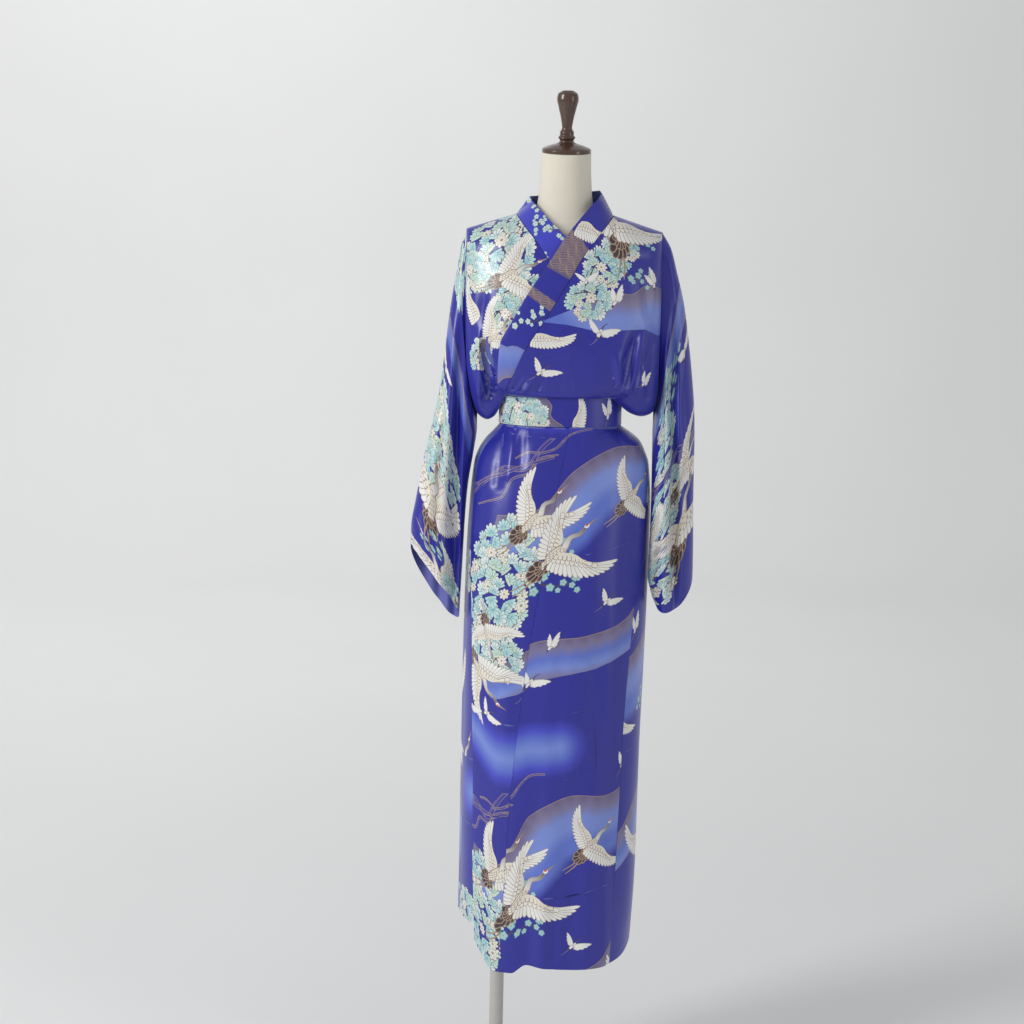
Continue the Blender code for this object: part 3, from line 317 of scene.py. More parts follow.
# The sleeves, a row for each section from the armhole (0) to the cuff (1): the fold along the top of the
# arm, the seam under the arm, and half the sleeve's thickness
SLEEVE_COLUMNS = "along fold_x fold_y fold_z under_x under_y under_z half".split()
SLEEVE_LEFT = {
    "columns": SLEEVE_COLUMNS,
    "rows": [
        (0.00, -0.1706, 0.000, 1.5635, -0.1463, 0.000, 1.2400, 0.030),
        (0.06, -0.1800, 0.000, 1.5320, -0.1468, 0.000, 1.2320, 0.033),
        (0.15, -0.1880, 0.000, 1.4800, -0.1475, 0.000, 1.2150, 0.038),
        (0.28, -0.1990, -0.004, 1.4050, -0.1530, -0.006, 1.1700, 0.041),
        (0.42, -0.2090, -0.008, 1.3250, -0.1605, -0.012, 1.1130, 0.038),
        (0.56, -0.2220, -0.012, 1.2450, -0.1645, -0.018, 1.0550, 0.037),
        (0.70, -0.2380, -0.014, 1.1650, -0.1670, -0.024, 1.0000, 0.036),
        (0.84, -0.2520, -0.015, 1.0850, -0.1690, -0.028, 0.9470, 0.035),
        (0.93, -0.2600, -0.016, 1.0400, -0.1700, -0.028, 0.9130, 0.034),
        (1.00, -0.2615, -0.016, 1.0040, -0.1705, -0.028, 0.8850, 0.032),
    ],
}
SLEEVE_RIGHT = {
    "columns": SLEEVE_COLUMNS,
    "rows": [
        (0.00, 0.1706, 0.000, 1.5635, 0.1643, 0.000, 1.2500, 0.030),
        (0.06, 0.1880, 0.000, 1.5330, 0.1645, 0.000, 1.2420, 0.033),
        (0.15, 0.2000, 0.000, 1.4870, 0.1645, -0.004, 1.2230, 0.037),
        (0.28, 0.2170, -0.006, 1.4100, 0.1650, -0.022, 1.1780, 0.039),
        (0.42, 0.2290, -0.009, 1.3250, 0.1640, -0.042, 1.1180, 0.038),
        (0.56, 0.2355, -0.012, 1.2400, 0.1620, -0.050, 1.0600, 0.037),
        (0.70, 0.2390, -0.014, 1.1550, 0.1605, -0.052, 1.0050, 0.037),
        (0.84, 0.2405, -0.015, 1.0700, 0.1600, -0.052, 0.9650, 0.036),
        (0.93, 0.2420, -0.016, 1.0150, 0.1655, -0.050, 0.9430, 0.035),
        (1.00, 0.2430, -0.016, 0.9640, 0.1750, -0.046, 0.9250, 0.033),
    ],
}
SLEEVE_SEAM_ANGLE = 0.016  # keeps the two edges of the seam under the arm apart
ARMHOLE_END = 0.22  # how far down the armhole's shape reaches into the sleeve
FOLD_START = (0.05, 0.20)  # where the folds begin, and where they are at their full height
CUFF_START = 0.80  # where the cuff's front edge begins to part from its back edge
CUFF_LEFT = (0.009, -0.034)  # how far the front edge and the back edge lie above the cuff's line
CUFF_RIGHT = (-0.038, -0.036)
CUFF_ROUND = 0.8
SLEEVE_LEFT_FRONT_FOLDS = {
    "columns": FOLD_COLUMNS,
    "rows": [
        (-0.1780, 1.420, -0.1860, 0.870, 0.0095, -0.0170),
        (-0.1670, 1.330, -0.1720, 0.830, 0.0070, 0.0070),
        (-0.2150, 1.330, -0.2380, 0.960, 0.0140, 0.0050),
    ],
}
SLEEVE_LEFT_BACK_FOLDS = {
    "columns": FOLD_COLUMNS,
    "rows": [
        (-0.1850, 1.360, -0.1970, 0.840, 0.0110, -0.0130),
        (-0.1730, 1.240, -0.1780, 0.800, 0.0090, 0.0050),
        (-0.2100, 1.320, -0.2220, 0.900, 0.0110, -0.0070),
    ],
}
SLEEVE_RIGHT_FRONT_FOLDS = {
    "columns": FOLD_COLUMNS,
    "rows": [
        (0.1880, 1.470, 0.2060, 0.930, 0.0095, -0.0170),
        (0.1810, 1.380, 0.1900, 0.860, 0.0080, 0.0070),
        (0.1690, 1.300, 0.1740, 0.920, 0.0070, -0.0060),
    ],
}
SLEEVE_RIGHT_BACK_FOLDS = {
    "columns": FOLD_COLUMNS,
    "rows": [
        (0.1850, 1.450, 0.2080, 0.860, 0.0100, -0.0130),
        (0.1750, 1.330, 0.1860, 0.880, 0.0080, 0.0050),
        (0.2120, 1.330, 0.2260, 0.880, 0.0110, -0.0070),
    ],
}

# The form's torso below the shoulders, and its neck
TORSO = {
    "columns": "z half front back".split(),
    "rows": [
        (0.9500, 0.1480, 0.1000, 0.0960),
        (0.9530, 0.1535, 0.1055, 0.1010),
        (0.9650, 0.1560, 0.1080, 0.1040),
        (1.0300, 0.1560, 0.1110, 0.1080),
        (1.0900, 0.1500, 0.1080, 0.1060),
        (1.1500, 0.1330, 0.0970, 0.0960),
        (1.1900, 0.1080, 0.0830, 0.0840),
        (1.2220, 0.0995, 0.0765, 0.0770),
        (1.2500, 0.0980, 0.0745, 0.0750),
        (1.3000, 0.1035, 0.0775, 0.0785),
        (1.3500, 0.1220, 0.0945, 0.0860),
        (1.4000, 0.1370, 0.1050, 0.0900),
        (1.4500, 0.1470, 0.1030, 0.0920),
        (1.4900, 0.1560, 0.0930, 0.0900),
        (1.5200, 0.1620, 0.0800, 0.0840),
    ],
}
NECK = {
    "columns": "z half depth".split(),
    "rows": [
        (1.5450, 0.1510, 0.0720),
        (1.5620, 0.1380, 0.0600),
        (1.5740, 0.1030, 0.0535),
        (1.5850, 0.0730, 0.0480),
        (1.5960, 0.0560, 0.0458),
        (1.6080, 0.0490, 0.0448),
        (1.6250, 0.0465, 0.0442),
        (1.6600, 0.0440, 0.0436),
    ],
}
NECK_TOP_RADIUS = 0.0430

# The turned cap on the neck, a row for each ring: radius and height above the top of the neck
CAP = {
    "columns": "radius height".split(),
    "rows": [
        (0.0418, 0.0003),
        (0.0428, 0.0012),
        (0.0428, 0.0055),
        (0.0405, 0.0078),
        (0.0290, 0.0125),
        (0.0160, 0.0165),
        (0.0120, 0.0205),
        (0.0150, 0.0260),
        (0.0122, 0.0300),
        (0.0122, 0.0350),
        (0.0088, 0.0425),
        (0.0110, 0.0570),
        (0.0155, 0.0760),
        (0.0188, 0.0905),
        (0.0172, 0.1000),
        (0.0105, 0.1050),
    ],
}
CAP_HEIGHT = 0.1065

# How finely each piece is divided
COLUMNS = {"over": 21, "under": 18, "neckline": 13, "shoulder": 10, "collar": 5,
           "skirt_over": 18, "skirt_overlap": 12, "skirt_under": 18, "skirt_back": 23}
SKIRT_ROWS = [0.0, 0.0252, 0.029, 0.039, 0.054, 0.073, 0.10, 0.17, 0.28, 0.44, 0.60, 0.76, 0.90, 1.0]
SLEEVE_ROWS = [0.0, 0.05, 0.12, 0.20, 0.30, 0.40, 0.50, 0.60, 0.70, 0.79, 0.87, 0.94, 1.0]


def through(knots, values, at):
    """A smooth curve through the values, which never swings past them."""
    knots = np.asarray(knots, float)
    values = np.asarray(values, float)
    if knots[0] > knots[-1]:
        knots = knots[::-1]
        values = values[::-1]
    gaps = np.diff(knots)
    slopes = np.diff(values) / gaps
    tangents = np.zeros_like(values)
    tangents[0] = slopes[0]
    tangents[-1] = slopes[-1]
    same = slopes[:-1] * slopes[1:] > 0
    total = np.where(same, slopes[:-1] + slopes[1:], 1.0)
    tangents[1:-1] = np.where(same, 2 * slopes[:-1] * slopes[1:] / total, 0.0)
    at = np.clip(np.asarray(at, float), knots[0], knots[-1])
    i = np.clip(np.searchsorted(knots, at, side="right") - 1, 0, len(gaps) - 1)
    t = (at - knots[i]) / gaps[i]
    rise = values[i] * (1 + 2 * t) * (1 - t) ** 2 + values[i + 1] * t**2 * (3 - 2 * t)
    bend = tangents[i] * t * (1 - t) ** 2 - tangents[i + 1] * t**2 * (1 - t)
    return rise + bend * gaps[i]


def column(table, name):
    """One named column of a table."""
    place = table["columns"].index(name)
    return np.array([row[place] for row in table["rows"]], float)


def read(table, name, at):
    """A named column at any value of the table's first column."""
    return through(column(table, table["columns"][0]), column(table, name), at)


def smooth(x):
    """From 0 to 1 without a corner."""
    x = np.clip(x, 0.0, 1.0)
    return x * x * (3 - 2 * x)


def step(x, between):
    """From 0 to 1 between two values."""
    first, last = between
    return smooth((x - first) / (last - first))


def relief(folds, x, z):
    """The height of a table of folds at places seen from the front or the back."""
    total = np.zeros_like(x)
    for x_top, z_top, x_bottom, z_bottom, width, height in folds["rows"]:
        t = (z_top - z) / (z_top - z_bottom)
        middle = x_top + (x_bottom - x_top) * t
        ends = smooth(t / FOLD_RISE) * smooth((1.0 - t) / FOLD_END)
        total = total + height * ends * np.exp(-(((x - middle) / width) ** 2))
    return total


def profile(share, power):
    """Depth of a section, as a share, at a share of its half width."""
    return np.clip(1.0 - np.clip(np.abs(share), 0.0, 1.0) ** power, 0.0, 1.0) ** (1.0 / power)


def shoulder_rise(x):
    """Height of the shoulder line above the chest."""
    return SHOULDER_TIP_Z - CHEST_Z + SHOULDER_SLOPE * (SHOULDER_HALF - np.abs(x))


def bodice_depth(x, z, front):
    """How far the bodice's outer face lies in front of, or behind, the shoulder line at a height."""
    side = "front" if front else "back"
    heights = column(BODICE, "z_" + side)[:OUTER_ROWS]
    row = through(heights, column(BODICE, "row")[:OUTER_ROWS], np.minimum(z, CHEST_Z))
    deep = read(BODICE, side, row)
    half = np.where(x < 0, bodice_half(row, False), bodice_half(row, True))
    edge = read(BODICE, "armhole", row)
    depth = edge + (deep - edge) * profile(x / half, CLOTH_POWER)
    lift = np.clip((z - CHEST_Z) / shoulder_rise(x), 0.0, 1.0)
    return depth * np.sqrt(1.0 - lift**2)


def bodice_place(x, row, front):
    """A point of the bodice's front or back, at a place across and a row down."""
    side = "front" if front else "back"
    sign = -1.0 if front else 1.0
    low = np.maximum(row, SHOULDER_ROWS)
    half = np.where(x < 0, read(BODICE, "half_left", low), read(BODICE, "half_right", low))
    share = np.clip(np.abs(x) / half, 0.0, 1.0)
    deep = read(BODICE, side, low)
    edge = read(BODICE, "armhole", low)
    droop = np.where(x < 0, step(share, DROOP_LEFT), step(share, DROOP_RIGHT))
    z_side = np.where(x < 0, read(BODICE, "z_left", low), read(BODICE, "z_right", low))
    z_middle = read(BODICE, "z_" + side, low)
    z = z_middle + (z_side - z_middle) * droop
    depth = edge + (deep - edge) * profile(share, CLOTH_POWER)
    folds = BODICE_FRONT_FOLDS if front else BODICE_BACK_FOLDS
    depth = depth + relief(folds, x, z) * smooth((1.0 - share) / SIDE_FADE)
    up = np.clip((SHOULDER_ROWS - row) / SHOULDER_ROWS, 0.0, 1.0) * math.pi / 2
    z = np.where(row < SHOULDER_ROWS, CHEST_Z + shoulder_rise(x) * np.sin(up), z)
    depth = np.where(row < SHOULDER_ROWS, depth * np.cos(up), depth)
    return np.stack([x, sign * np.maximum(depth, SEAM / 2), z], axis=-1)


def bodice_half(row, right):
    """The half width of the bodice at a row, on one side."""
    return read(BODICE, "half_right" if right else "half_left", np.maximum(row, SHOULDER_ROWS))


def seam_x(table, row):
    """Where a front ends at its collar seam, at each row, found by trying height and place in turn."""
    x = np.zeros_like(row)
    low = np.clip(row, SHOULDER_ROWS, TURN_ROW)
    up = np.clip((SHOULDER_ROWS - row) / SHOULDER_ROWS, 0.0, 1.0) * math.pi / 2
    for _ in range(SEAM_ROUNDS):
        shoulder = CHEST_Z + shoulder_rise(x) * np.sin(up)
        z = np.where(row < SHOULDER_ROWS, shoulder, read(BODICE, "z_front", low))
        x = read(table, "x", z)
    return x * (1.0 - HIDDEN_NARROWING * smooth((row - TURN_ROW - 1) / HIDDEN_ROWS))


def spread(start, end, half, u):
    """Places across a section, closer together at its sides, for u from 0 to 1."""
    first = np.arcsin(np.clip(start / half, -1.0, 1.0))
    last = np.arcsin(np.clip(end / half, -1.0, 1.0))
    return half * np.sin(first + (last - first) * u)


def over_place(u, row):
    """The over front of the bodice, from its collar seam (0) to the right armhole (1)."""
    half = bodice_half(row, True)
    x = spread(seam_x(OVER_SEAM, row), half, half, u)
    return bodice_place(x, row, True)


def under_place(u, row):
    """The under front of the bodice, from the left armhole (0) to its own collar seam (1)."""
    half = bodice_half(row, False)
    x = spread(-half, seam_x(UNDER_SEAM, row), half, u)
    return bodice_place(x, row, True)


def under_inset(points, row):
    """How deep the under front lies in the over front. It meets the back at the shoulder and armhole."""
    beside = points[..., 0] + bodice_half(row, False)
    return UNDER_INSET * smooth(beside / UNDER_FADE) * smooth(row / UNDER_FADE_ROWS)


def neckline_turns():
    """Where the back's columns meet its neckline, as turns from the right (0) to the left (pi)."""
    return np.linspace(0.0, math.pi, COLUMNS["neckline"])


def back_columns():
    """Places across the back from 0 to 1, with a column at each corner of the neckline."""
    reach = math.asin(NECKLINE[0] / SHOULDER_HALF)
    inside = np.arcsin(NECKLINE[0] * np.cos(neckline_turns()[::-1]) / SHOULDER_HALF)
    beside = np.linspace(reach, math.pi / 2, COLUMNS["shoulder"])[1:]
    return 0.5 + np.concatenate([-beside[::-1], inside, beside]) / math.pi


def neckline_row(x):
    """The bodice row at which the back's neckline runs."""
    deep = NECKLINE[1] * np.sqrt(np.clip(1.0 - (x / NECKLINE[0]) ** 2, 0.0, 1.0))
    full = bodice_depth(x, np.full_like(x, CHEST_Z), False)
    up = np.arccos(np.clip(deep / full, 0.0, 1.0))
    return SHOULDER_ROWS * (1.0 - up / (math.pi / 2))


def back_place(u, row):
    """The back of the bodice, left (0) to right (1), from the shoulder line and the neckline down."""
    half = np.where(u < 0.5, bodice_half(row, False), bodice_half(row, True))
    x = half * np.sin((u - 0.5) * math.pi)
    top = neckline_row(x)
    row = np.where(row < SHOULDER_ROWS, top + (SHOULDER_ROWS - top) * row / SHOULDER_ROWS, row)
    return bodice_place(x, row, False)


def collar_front(row, seam, edge, rise):
    """One section of the band on the chest."""
    row = np.array([float(row)])
    sideways = 1.0 if seam is UNDER_SEAM else -1.0
    x = seam_x(seam, row)
    outer = bodice_place(x, row, True)[0]
    lift = COLLAR_LIFT * (row[0] < 1)
    outer = outer + np.array([sideways * COLLAR_SEAM, -rise * smooth(row[0] / UNDER_FADE_ROWS), lift])
    free = np.array([read(edge, name, row)[0] for name in ("x", "y", "z")])
    lie = read(edge, "lie", row)[0]
    chest = -bodice_depth(np.array([free[0]]), np.array([free[2]]), True)[0] - rise
    free[1] = free[1] + (chest - free[1]) * lie
    return outer, free, lie, rise


def collar_back(turn):
    """One section of the band behind the neck; turn runs from the right side (0) to the left (pi)."""
    x = np.array([NECKLINE[0] * math.cos(turn)])
    outer = bodice_place(x, neckline_row(x), False)[0] + np.array([0.0, *NECK_CLEAR])
    half, deep, top = COLLAR_TOP
    drop = COLLAR_SIDE_DROP * (1.0 - math.cos(turn))
    free = np.array([half * math.cos(turn), deep * math.sin(turn), top - drop])
    return outer, free, 0.0, 0.0


def skirt_place(angle, z, tucks):
    """A point of the skirt at an angle from the middle of the front, in degrees, and a height."""
    turn = np.radians(angle)
    across = np.sin(turn)
    half = np.where(across < 0, read(SKIRT, "half_left", z), read(SKIRT, "half_right", z))
    deep = np.where(np.cos(turn) > 0, read(SKIRT, "front", z), read(SKIRT, "back", z))
    x = half * across
    depth = deep * profile(across, CLOTH_POWER)
    front = np.cos(turn) > 0
    fold = np.where(front, relief(SKIRT_FRONT_FOLDS, x, z), relief(SKIRT_BACK_FOLDS, x, z))
    fold = fold + np.where(front, relief(SKIRT_TUCKS, x, z), 0.0) * tucks
    depth = depth + fold * smooth(depth / deep / SKIRT_SIDE_FADE)
    return np.stack([x, np.where(front, -depth, depth), z], axis=-1)


def skirt_panel(start, end, hem, tucks=1.0):
    """A function for one panel of the skirt between two lines, from the waist (0) to the hem (1).

    Down to the hip the rows lie at even heights, and below it they come to follow the hem.
    """

    def place(u, v):
        bottom = column(hem, "z").mean()
        for _ in range(HEM_ROUNDS):
            z = SKIRT_TOP_Z - v - np.maximum(v - HIP, 0.0) / (1.0 - HIP) * (SKIRT_TOP_Z - 1.0 - bottom)
            angle = start(z) + (end(z) - start(z)) * u
            bottom = read(hem, "z", angle)
        return skirt_place(angle, z, tucks)

    return place


def under_skirt_inset(points, row):
    """How deep the under front of the skirt lies in the over front, most of all under its tucks."""
    under_tucks = step(row, UNDER_TUCKS_TOP) * step(points[..., 0], UNDER_TUCKS_X)
    slack = step(row, UNDER_SLACK_ROWS)
    deeper = (1.0 - slack) * UNDER_TUCKS + slack * UNDER_SLACK
    return (UNDER_SKIRT_INSET + under_tucks * deeper) * smooth(-points[..., 1] / UNDER_FADE)


def line(name, shift=0.0):
    """A line down the skirt, moved round by a number of degrees."""
    return lambda z: read(SKIRT_LINES, name, z) + shift


def level(angle):
    """A line that stays at one angle."""
    return lambda z: np.full_like(z, angle)


def sleeve_place(table, front_folds, back_folds, right):
    """A function for one sleeve: down from the armhole (0) to the cuff (1), and round it by columns."""
    sign = 1.0 if right else -1.0

    def armhole(place):
        """The armhole's edge."""
        front = place <= ARMHOLE_ROWS
        row = np.abs(place - ARMHOLE_ROWS)
        half = bodice_half(row, right)
        sides = [bodice_place(sign * half, row, side) for side in (True, False)]
        edge = np.where(front[..., None], *sides)
        edge[..., 1] = np.where(row < STEP, 0.0, edge[..., 1])
        return edge + np.array([sign * SEAM * 1.5, 0.0, 0.0])

    def section(place, along):
        """The sleeve's own flattened tube."""
        turn = SLEEVE_SEAM_ANGLE + place / (2 * ARMHOLE_ROWS) * (2 * math.pi - 2 * SLEEVE_SEAM_ANGLE)
        share = (1.0 - np.cos(turn)) / 2
        at = {name: read(table, name, along) for name in SLEEVE_COLUMNS[1:]}
        x = at["under_x"] + (at["fold_x"] - at["under_x"]) * share
        z = at["under_z"] + (at["fold_z"] - at["under_z"]) * share
        middle = at["under_y"] + (at["fold_y"] - at["under_y"]) * share
        front = turn <= math.pi
        thick = at["half"] * np.sin(turn)
        hold = smooth(np.abs(np.sin(turn)) / SLEEVE_SIDE_FADE) * step(along, FOLD_START)
        fold = np.where(front, relief(front_folds, x, z), -relief(back_folds, x, z))
        cuff = step(along, (CUFF_START, 1.0)) * np.abs(np.sin(turn)) ** CUFF_ROUND
        z = z + np.where(front, *(CUFF_RIGHT if right else CUFF_LEFT)) * cuff
        return np.stack([x, middle - thick - fold * hold, z], axis=-1)

    def place(u, v):
        fade = (1.0 - smooth(v / ARMHOLE_END))[..., None]
        own = section(u, v)
        return own + (armhole(u) - section(u, np.zeros_like(v))) * fade

    return place


# Looks
SHELL = 0.0006  # thickness of the satin as it is seen
STITCH = (0.0030, 0.0014, 0.0005)  # length, gap and width of a stitch

# Camera, at the photograph's angle
CAMERA_PLACE = (-0.0815, -3.5, 1.556)
CAMERA_PITCH = math.radians(8.0)
CAMERA_ROLL = math.radians(1.2)
CAMERA_LENS = 69.69
CAMERA_SENSOR = 36.0

# Inks of the print, as they look on the cloth (red, green, blue from 0 to 255)
INKS = {
    "blue": (38, 40, 158),
    "deep": (26, 26, 104),
    "mist": (98, 122, 214),
    "pale": (128, 150, 226),
    "bright": (66, 70, 204),
    "haze": (134, 126, 164),
    "smoke": (112, 98, 128),
    "gold": (176, 150, 124),
    "tan": (166, 140, 108),
    "cream": (244, 236, 216),
    "white": (250, 249, 242),
    "shade": (206, 194, 190),
    "black": (40, 30, 34),
    "brown": (88, 68, 54),
    "red": (206, 84, 60),
    "aqua": (150, 208, 214),
    "foam": (196, 232, 228),
    "mint": (220, 236, 206),
    "teal": (84, 128, 150),
}

STREAM_LINE = 0.0008
WAVE_GAP = 0.0030
DRIFT_PLACES = 7
# How far the print moves down and across from one repeat to the next
REPEAT_DOWN = (0.016, -0.620)
REPEAT_ACROSS = (0.560, 0.0)


def ink(name):
    """An ink as linear light."""
    value = np.array(INKS[name], float) / 255.0
    return np.where(value <= 0.04045, value / 12.92, ((value + 0.055) / 1.055) ** 2.4)


class Art:
    """Shapes of the print in drawing order: outline, inks, the line they change away from, and how far."""

    def __init__(self):
        self.shapes = []

    def add(self, outline, inks, start=None, reach=1.0):
        """One shape. Its inks follow each other with the distance from a point or a path."""
        outline = np.asarray(outline, float)
        start = outline[:1] if start is None else np.atleast_2d(np.asarray(start, float))
        self.shapes.append((outline, inks.split(), start, reach))

    def place(self, other, x, y, size=1.0, turn=0.0, mirror=False):
        """Puts another drawing on this one, at a place, size and turn in degrees."""
        c, s = math.cos(math.radians(turn)), math.sin(math.radians(turn))
        matrix = size * np.array([[c, -s], [s, c]])
        if mirror:
            matrix = matrix @ np.diag([1.0, -1.0])
        for outline, inks, start, reach in other.shapes:
            self.shapes.append((outline @ matrix.T + (x, y), inks, start @ matrix.T + (x, y), reach * size))


def heading(degrees):
    """A direction in the drawing."""
    return np.array([math.cos(math.radians(degrees)), math.sin(math.radians(degrees))])


def strip(path, *widths):
    """The outline of a stroke along a path, its widths spread along it."""
    path = np.asarray(path, float)
    along = np.gradient(path, axis=0)
    across = np.stack([-along[:, 1], along[:, 0]], axis=1)
    across = across / np.maximum(np.linalg.norm(across, axis=1, keepdims=True), 1e-12)
    width = np.interp(np.linspace(0, 1, len(path)), np.linspace(0, 1, len(widths)), widths)[:, None] / 2
    return np.concatenate([path + across * width, (path - across * width)[::-1]])


def curve(points, count):
    """A smooth path through a few points."""
    points = np.asarray(points, float)
    gaps = np.concatenate([[0], np.cumsum(np.linalg.norm(np.diff(points, axis=0), axis=1))])
    at = np.linspace(0, gaps[-1], count)
    tangent = np.gradient(points, gaps, axis=0)
    i = np.clip(np.searchsorted(gaps, at, side="right") - 1, 0, len(points) - 2)
    h = (gaps[i + 1] - gaps[i])[:, None]
    t = ((at - gaps[i]) / h[:, 0])[:, None]
    return (points[i] * (1 + 2 * t) * (1 - t) ** 2 + tangent[i] * h * t * (1 - t) ** 2
            + points[i + 1] * t**2 * (3 - 2 * t) - tangent[i + 1] * h * t**2 * (1 - t))


def feather(base, degrees, length, width, bend):
    """The outline of a feather with a round tip, bent sideways by a number of degrees."""
    steps = np.array([0.0, 0.40, 0.78, 0.93, 1.0])
    half = np.array([0.20, 0.42, 0.50, 0.36, 0.0]) * width
    turn = np.radians(degrees + bend * steps / 2)
    middle = base + (steps * length)[:, None] * np.stack([np.cos(turn), np.sin(turn)], axis=1)
    turn = np.radians(degrees + bend * steps)
    aside = np.stack([-np.sin(turn), np.cos(turn)], axis=1) * half[:, None]
    return np.concatenate([middle + aside, (middle - aside)[-2::-1]])


def add_feather(art, base, degrees, length, width, bend=0.0, inks="shade white white", edge="tan", rim=0.13):
    """A feather with a thin outline."""
    art.add(feather(base, degrees, length, width, bend), edge)
    rim = rim * width
    inner = feather(base + heading(degrees) * rim, degrees, length - 2.1 * rim, width - 2 * rim, bend)
    art.add(inner, inks, base, length)


def add_wing(art, root, degrees, side, length):
    """A wing: feathers trail to one side (1 or -1) of its leading edge and spread out at its tip."""
    ahead = heading(degrees)
    aside = np.array([-ahead[1], ahead[0]]) * side

    def bone(q):
        return root + ahead * length * 0.46 * q - aside * 0.06 * length * math.sin(math.pi * q)

    for q in np.linspace(0.0, 1.0, 15):
        turn = degrees + side * 104 * (1 - q) ** 0.9
        long = length * (0.30 + 0.27 * q)
        add_feather(art, bone(q), turn, long, length * (0.096 - 0.026 * q), -side * (8 + 26 * q), rim=0.085)
    for share, count, rim in ((0.50, 10, 0.085), (0.30, 9, 0.12)):
        for q in np.linspace(0.0, 0.98, count):
            turn = degrees + side * 100 * (1 - q) ** 0.9
            long = length * (0.30 + 0.20 * q) * share
            add_feather(art, bone(q), turn, long, length * 0.078, 0.0, "cream white", "tan", rim)
    path = [bone(q) for q in np.linspace(0, 1.08, 6)]
    art.add(strip(path, 0.060 * length, 0.050 * length, 0.012 * length), "cream")


def crane(first, second, neck_bend=0.03):
    """A crane in flight towards +x, about one unit from wing to wing, its wings at two angles."""
    art = Art()
    for bend in (-0.02, 0.02):
        leg = curve([(-0.12, -0.02), (-0.32, -0.06 + bend), (-0.50, -0.05 + 1.5 * bend)], 6)
        art.add(strip(leg, 0.014, 0.020, 0.010), "gold")
    add_wing(art, np.array([0.04, 0.03]), first, 1, 0.60)
    for turn, length in ((222, 0.15), (205, 0.20), (192, 0.24), (180, 0.25), (168, 0.24), (155, 0.20),
                         (140, 0.14)):
        base = np.array([-0.06, 0.0])
        add_feather(art, base, turn, length, 0.075, 20, "black black brown", "gold", 0.14)
        add_feather(art, base, turn + 6, 0.62 * length, 0.055, 20, "black brown", "gold", 0.16)
    body = curve([(0.20, 0.040), (0.10, 0.070), (-0.04, 0.055), (-0.15, 0.0), (-0.05, -0.055),
                  (0.08, -0.050),
                  (0.17, -0.01), (0.20, 0.040)], 16)[:-1]
    art.add(body, "tan")
    art.add(np.array([0.025, 0.0]) + (body - (0.025, 0.0)) * 0.88, "cream shade", (0.05, 0.03), 0.2)
    for x in (0.13, 0.09, 0.05, 0.01, -0.03, -0.07):
        for y in (0.022, 0.0, -0.022):
            add_feather(art, np.array([x + 0.5 * y, y]), 180, 0.050, 0.034, 0.0, "cream white", "tan", 0.15)
    neck = curve([(0.14, 0.015), (0.24, 0.045 + neck_bend), (0.33, 0.02 + neck_bend),
                  (0.43, 0.05 + neck_bend)], 10)
    art.add(strip(neck, 0.080, 0.050, 0.034), "gold")
    art.add(strip(neck, 0.062, 0.036, 0.022), "white black black black")
    end = neck[-1]
    art.add(strip([end + (-0.01, 0.0), end + (0.06, 0.004), end + (0.13, 0.010)], 0.026, 0.016, 0.003),
            "gold")
    art.add(np.array([end + 0.022 * heading(a) * (1.3, 1.0) for a in range(0, 360, 45)]), "white")
    art.add(np.array([end + (0.006, 0.010) + 0.015 * heading(a) * (1.4, 0.8) for a in range(0, 360,
                                                                                            60)]), "red")
    add_wing(art, np.array([0.05, -0.01]), second, -1, 0.64)
    return art


def lone_wing():
    """A wing alone, one unit long towards +x."""
    art = Art()
    add_wing(art, np.array([0.0, 0.0]), 0.0, -1, 1.0)
    return art


def small_crane(first, second):
    """A small white crane, one unit from wing to wing."""
    art = Art()
    art.add(strip(curve([(-0.10, 0.0), (-0.30, -0.02), (-0.50, 0.01)], 4), 0.03, 0.012), "haze")
    art.add(strip(curve([(0.10, 0.02), (0.28, 0.06), (0.44, 0.02)], 5), 0.05, 0.016), "brown")
    art.add(strip([(-0.20, -0.01), (-0.10, 0.0), (0.0, 0.01)], 0.05, 0.11, 0.09), "brown")
    art.add(strip(curve([(-0.12, 0.0), (0.0, 0.02), (0.16, 0.03)], 4), 0.07, 0.11, 0.05), "white")
    for degrees, side, length in ((first, 1, 0.52), (second, -1, 0.66)):
        ahead = heading(degrees)
        aside = np.array([-ahead[1], ahead[0]]) * side
        root = np.array([0.03, 0.02])
        shares = [(0.00, -0.04), (0.30, -0.10), (0.60, -0.09), (0.88, -0.03), (1.00, 0.04), (0.92, 0.10),
                  (0.80, 0.11),
                  (0.74, 0.19), (0.60, 0.18), (0.50, 0.26), (0.36, 0.23), (0.22, 0.28), (0.02, 0.20)]
        edge = np.array([root + (ahead * a + aside * b) * length for a, b in shares])
        art.add(edge, "shade")
        art.add(edge.mean(axis=0) + (edge - edge.mean(axis=0)) * 0.88, "white")
    return art


def lobed(radius, lobes, dent, steps=3):
    """A round outline with shallow lobes."""
    turn = np.arange(lobes * steps) / (lobes * steps) * 2 * math.pi
    r = radius * (1 - dent * np.abs(np.cos(turn * lobes / 2)) ** 3)
    return np.stack([r * np.cos(turn), r * np.sin(turn)], axis=1)


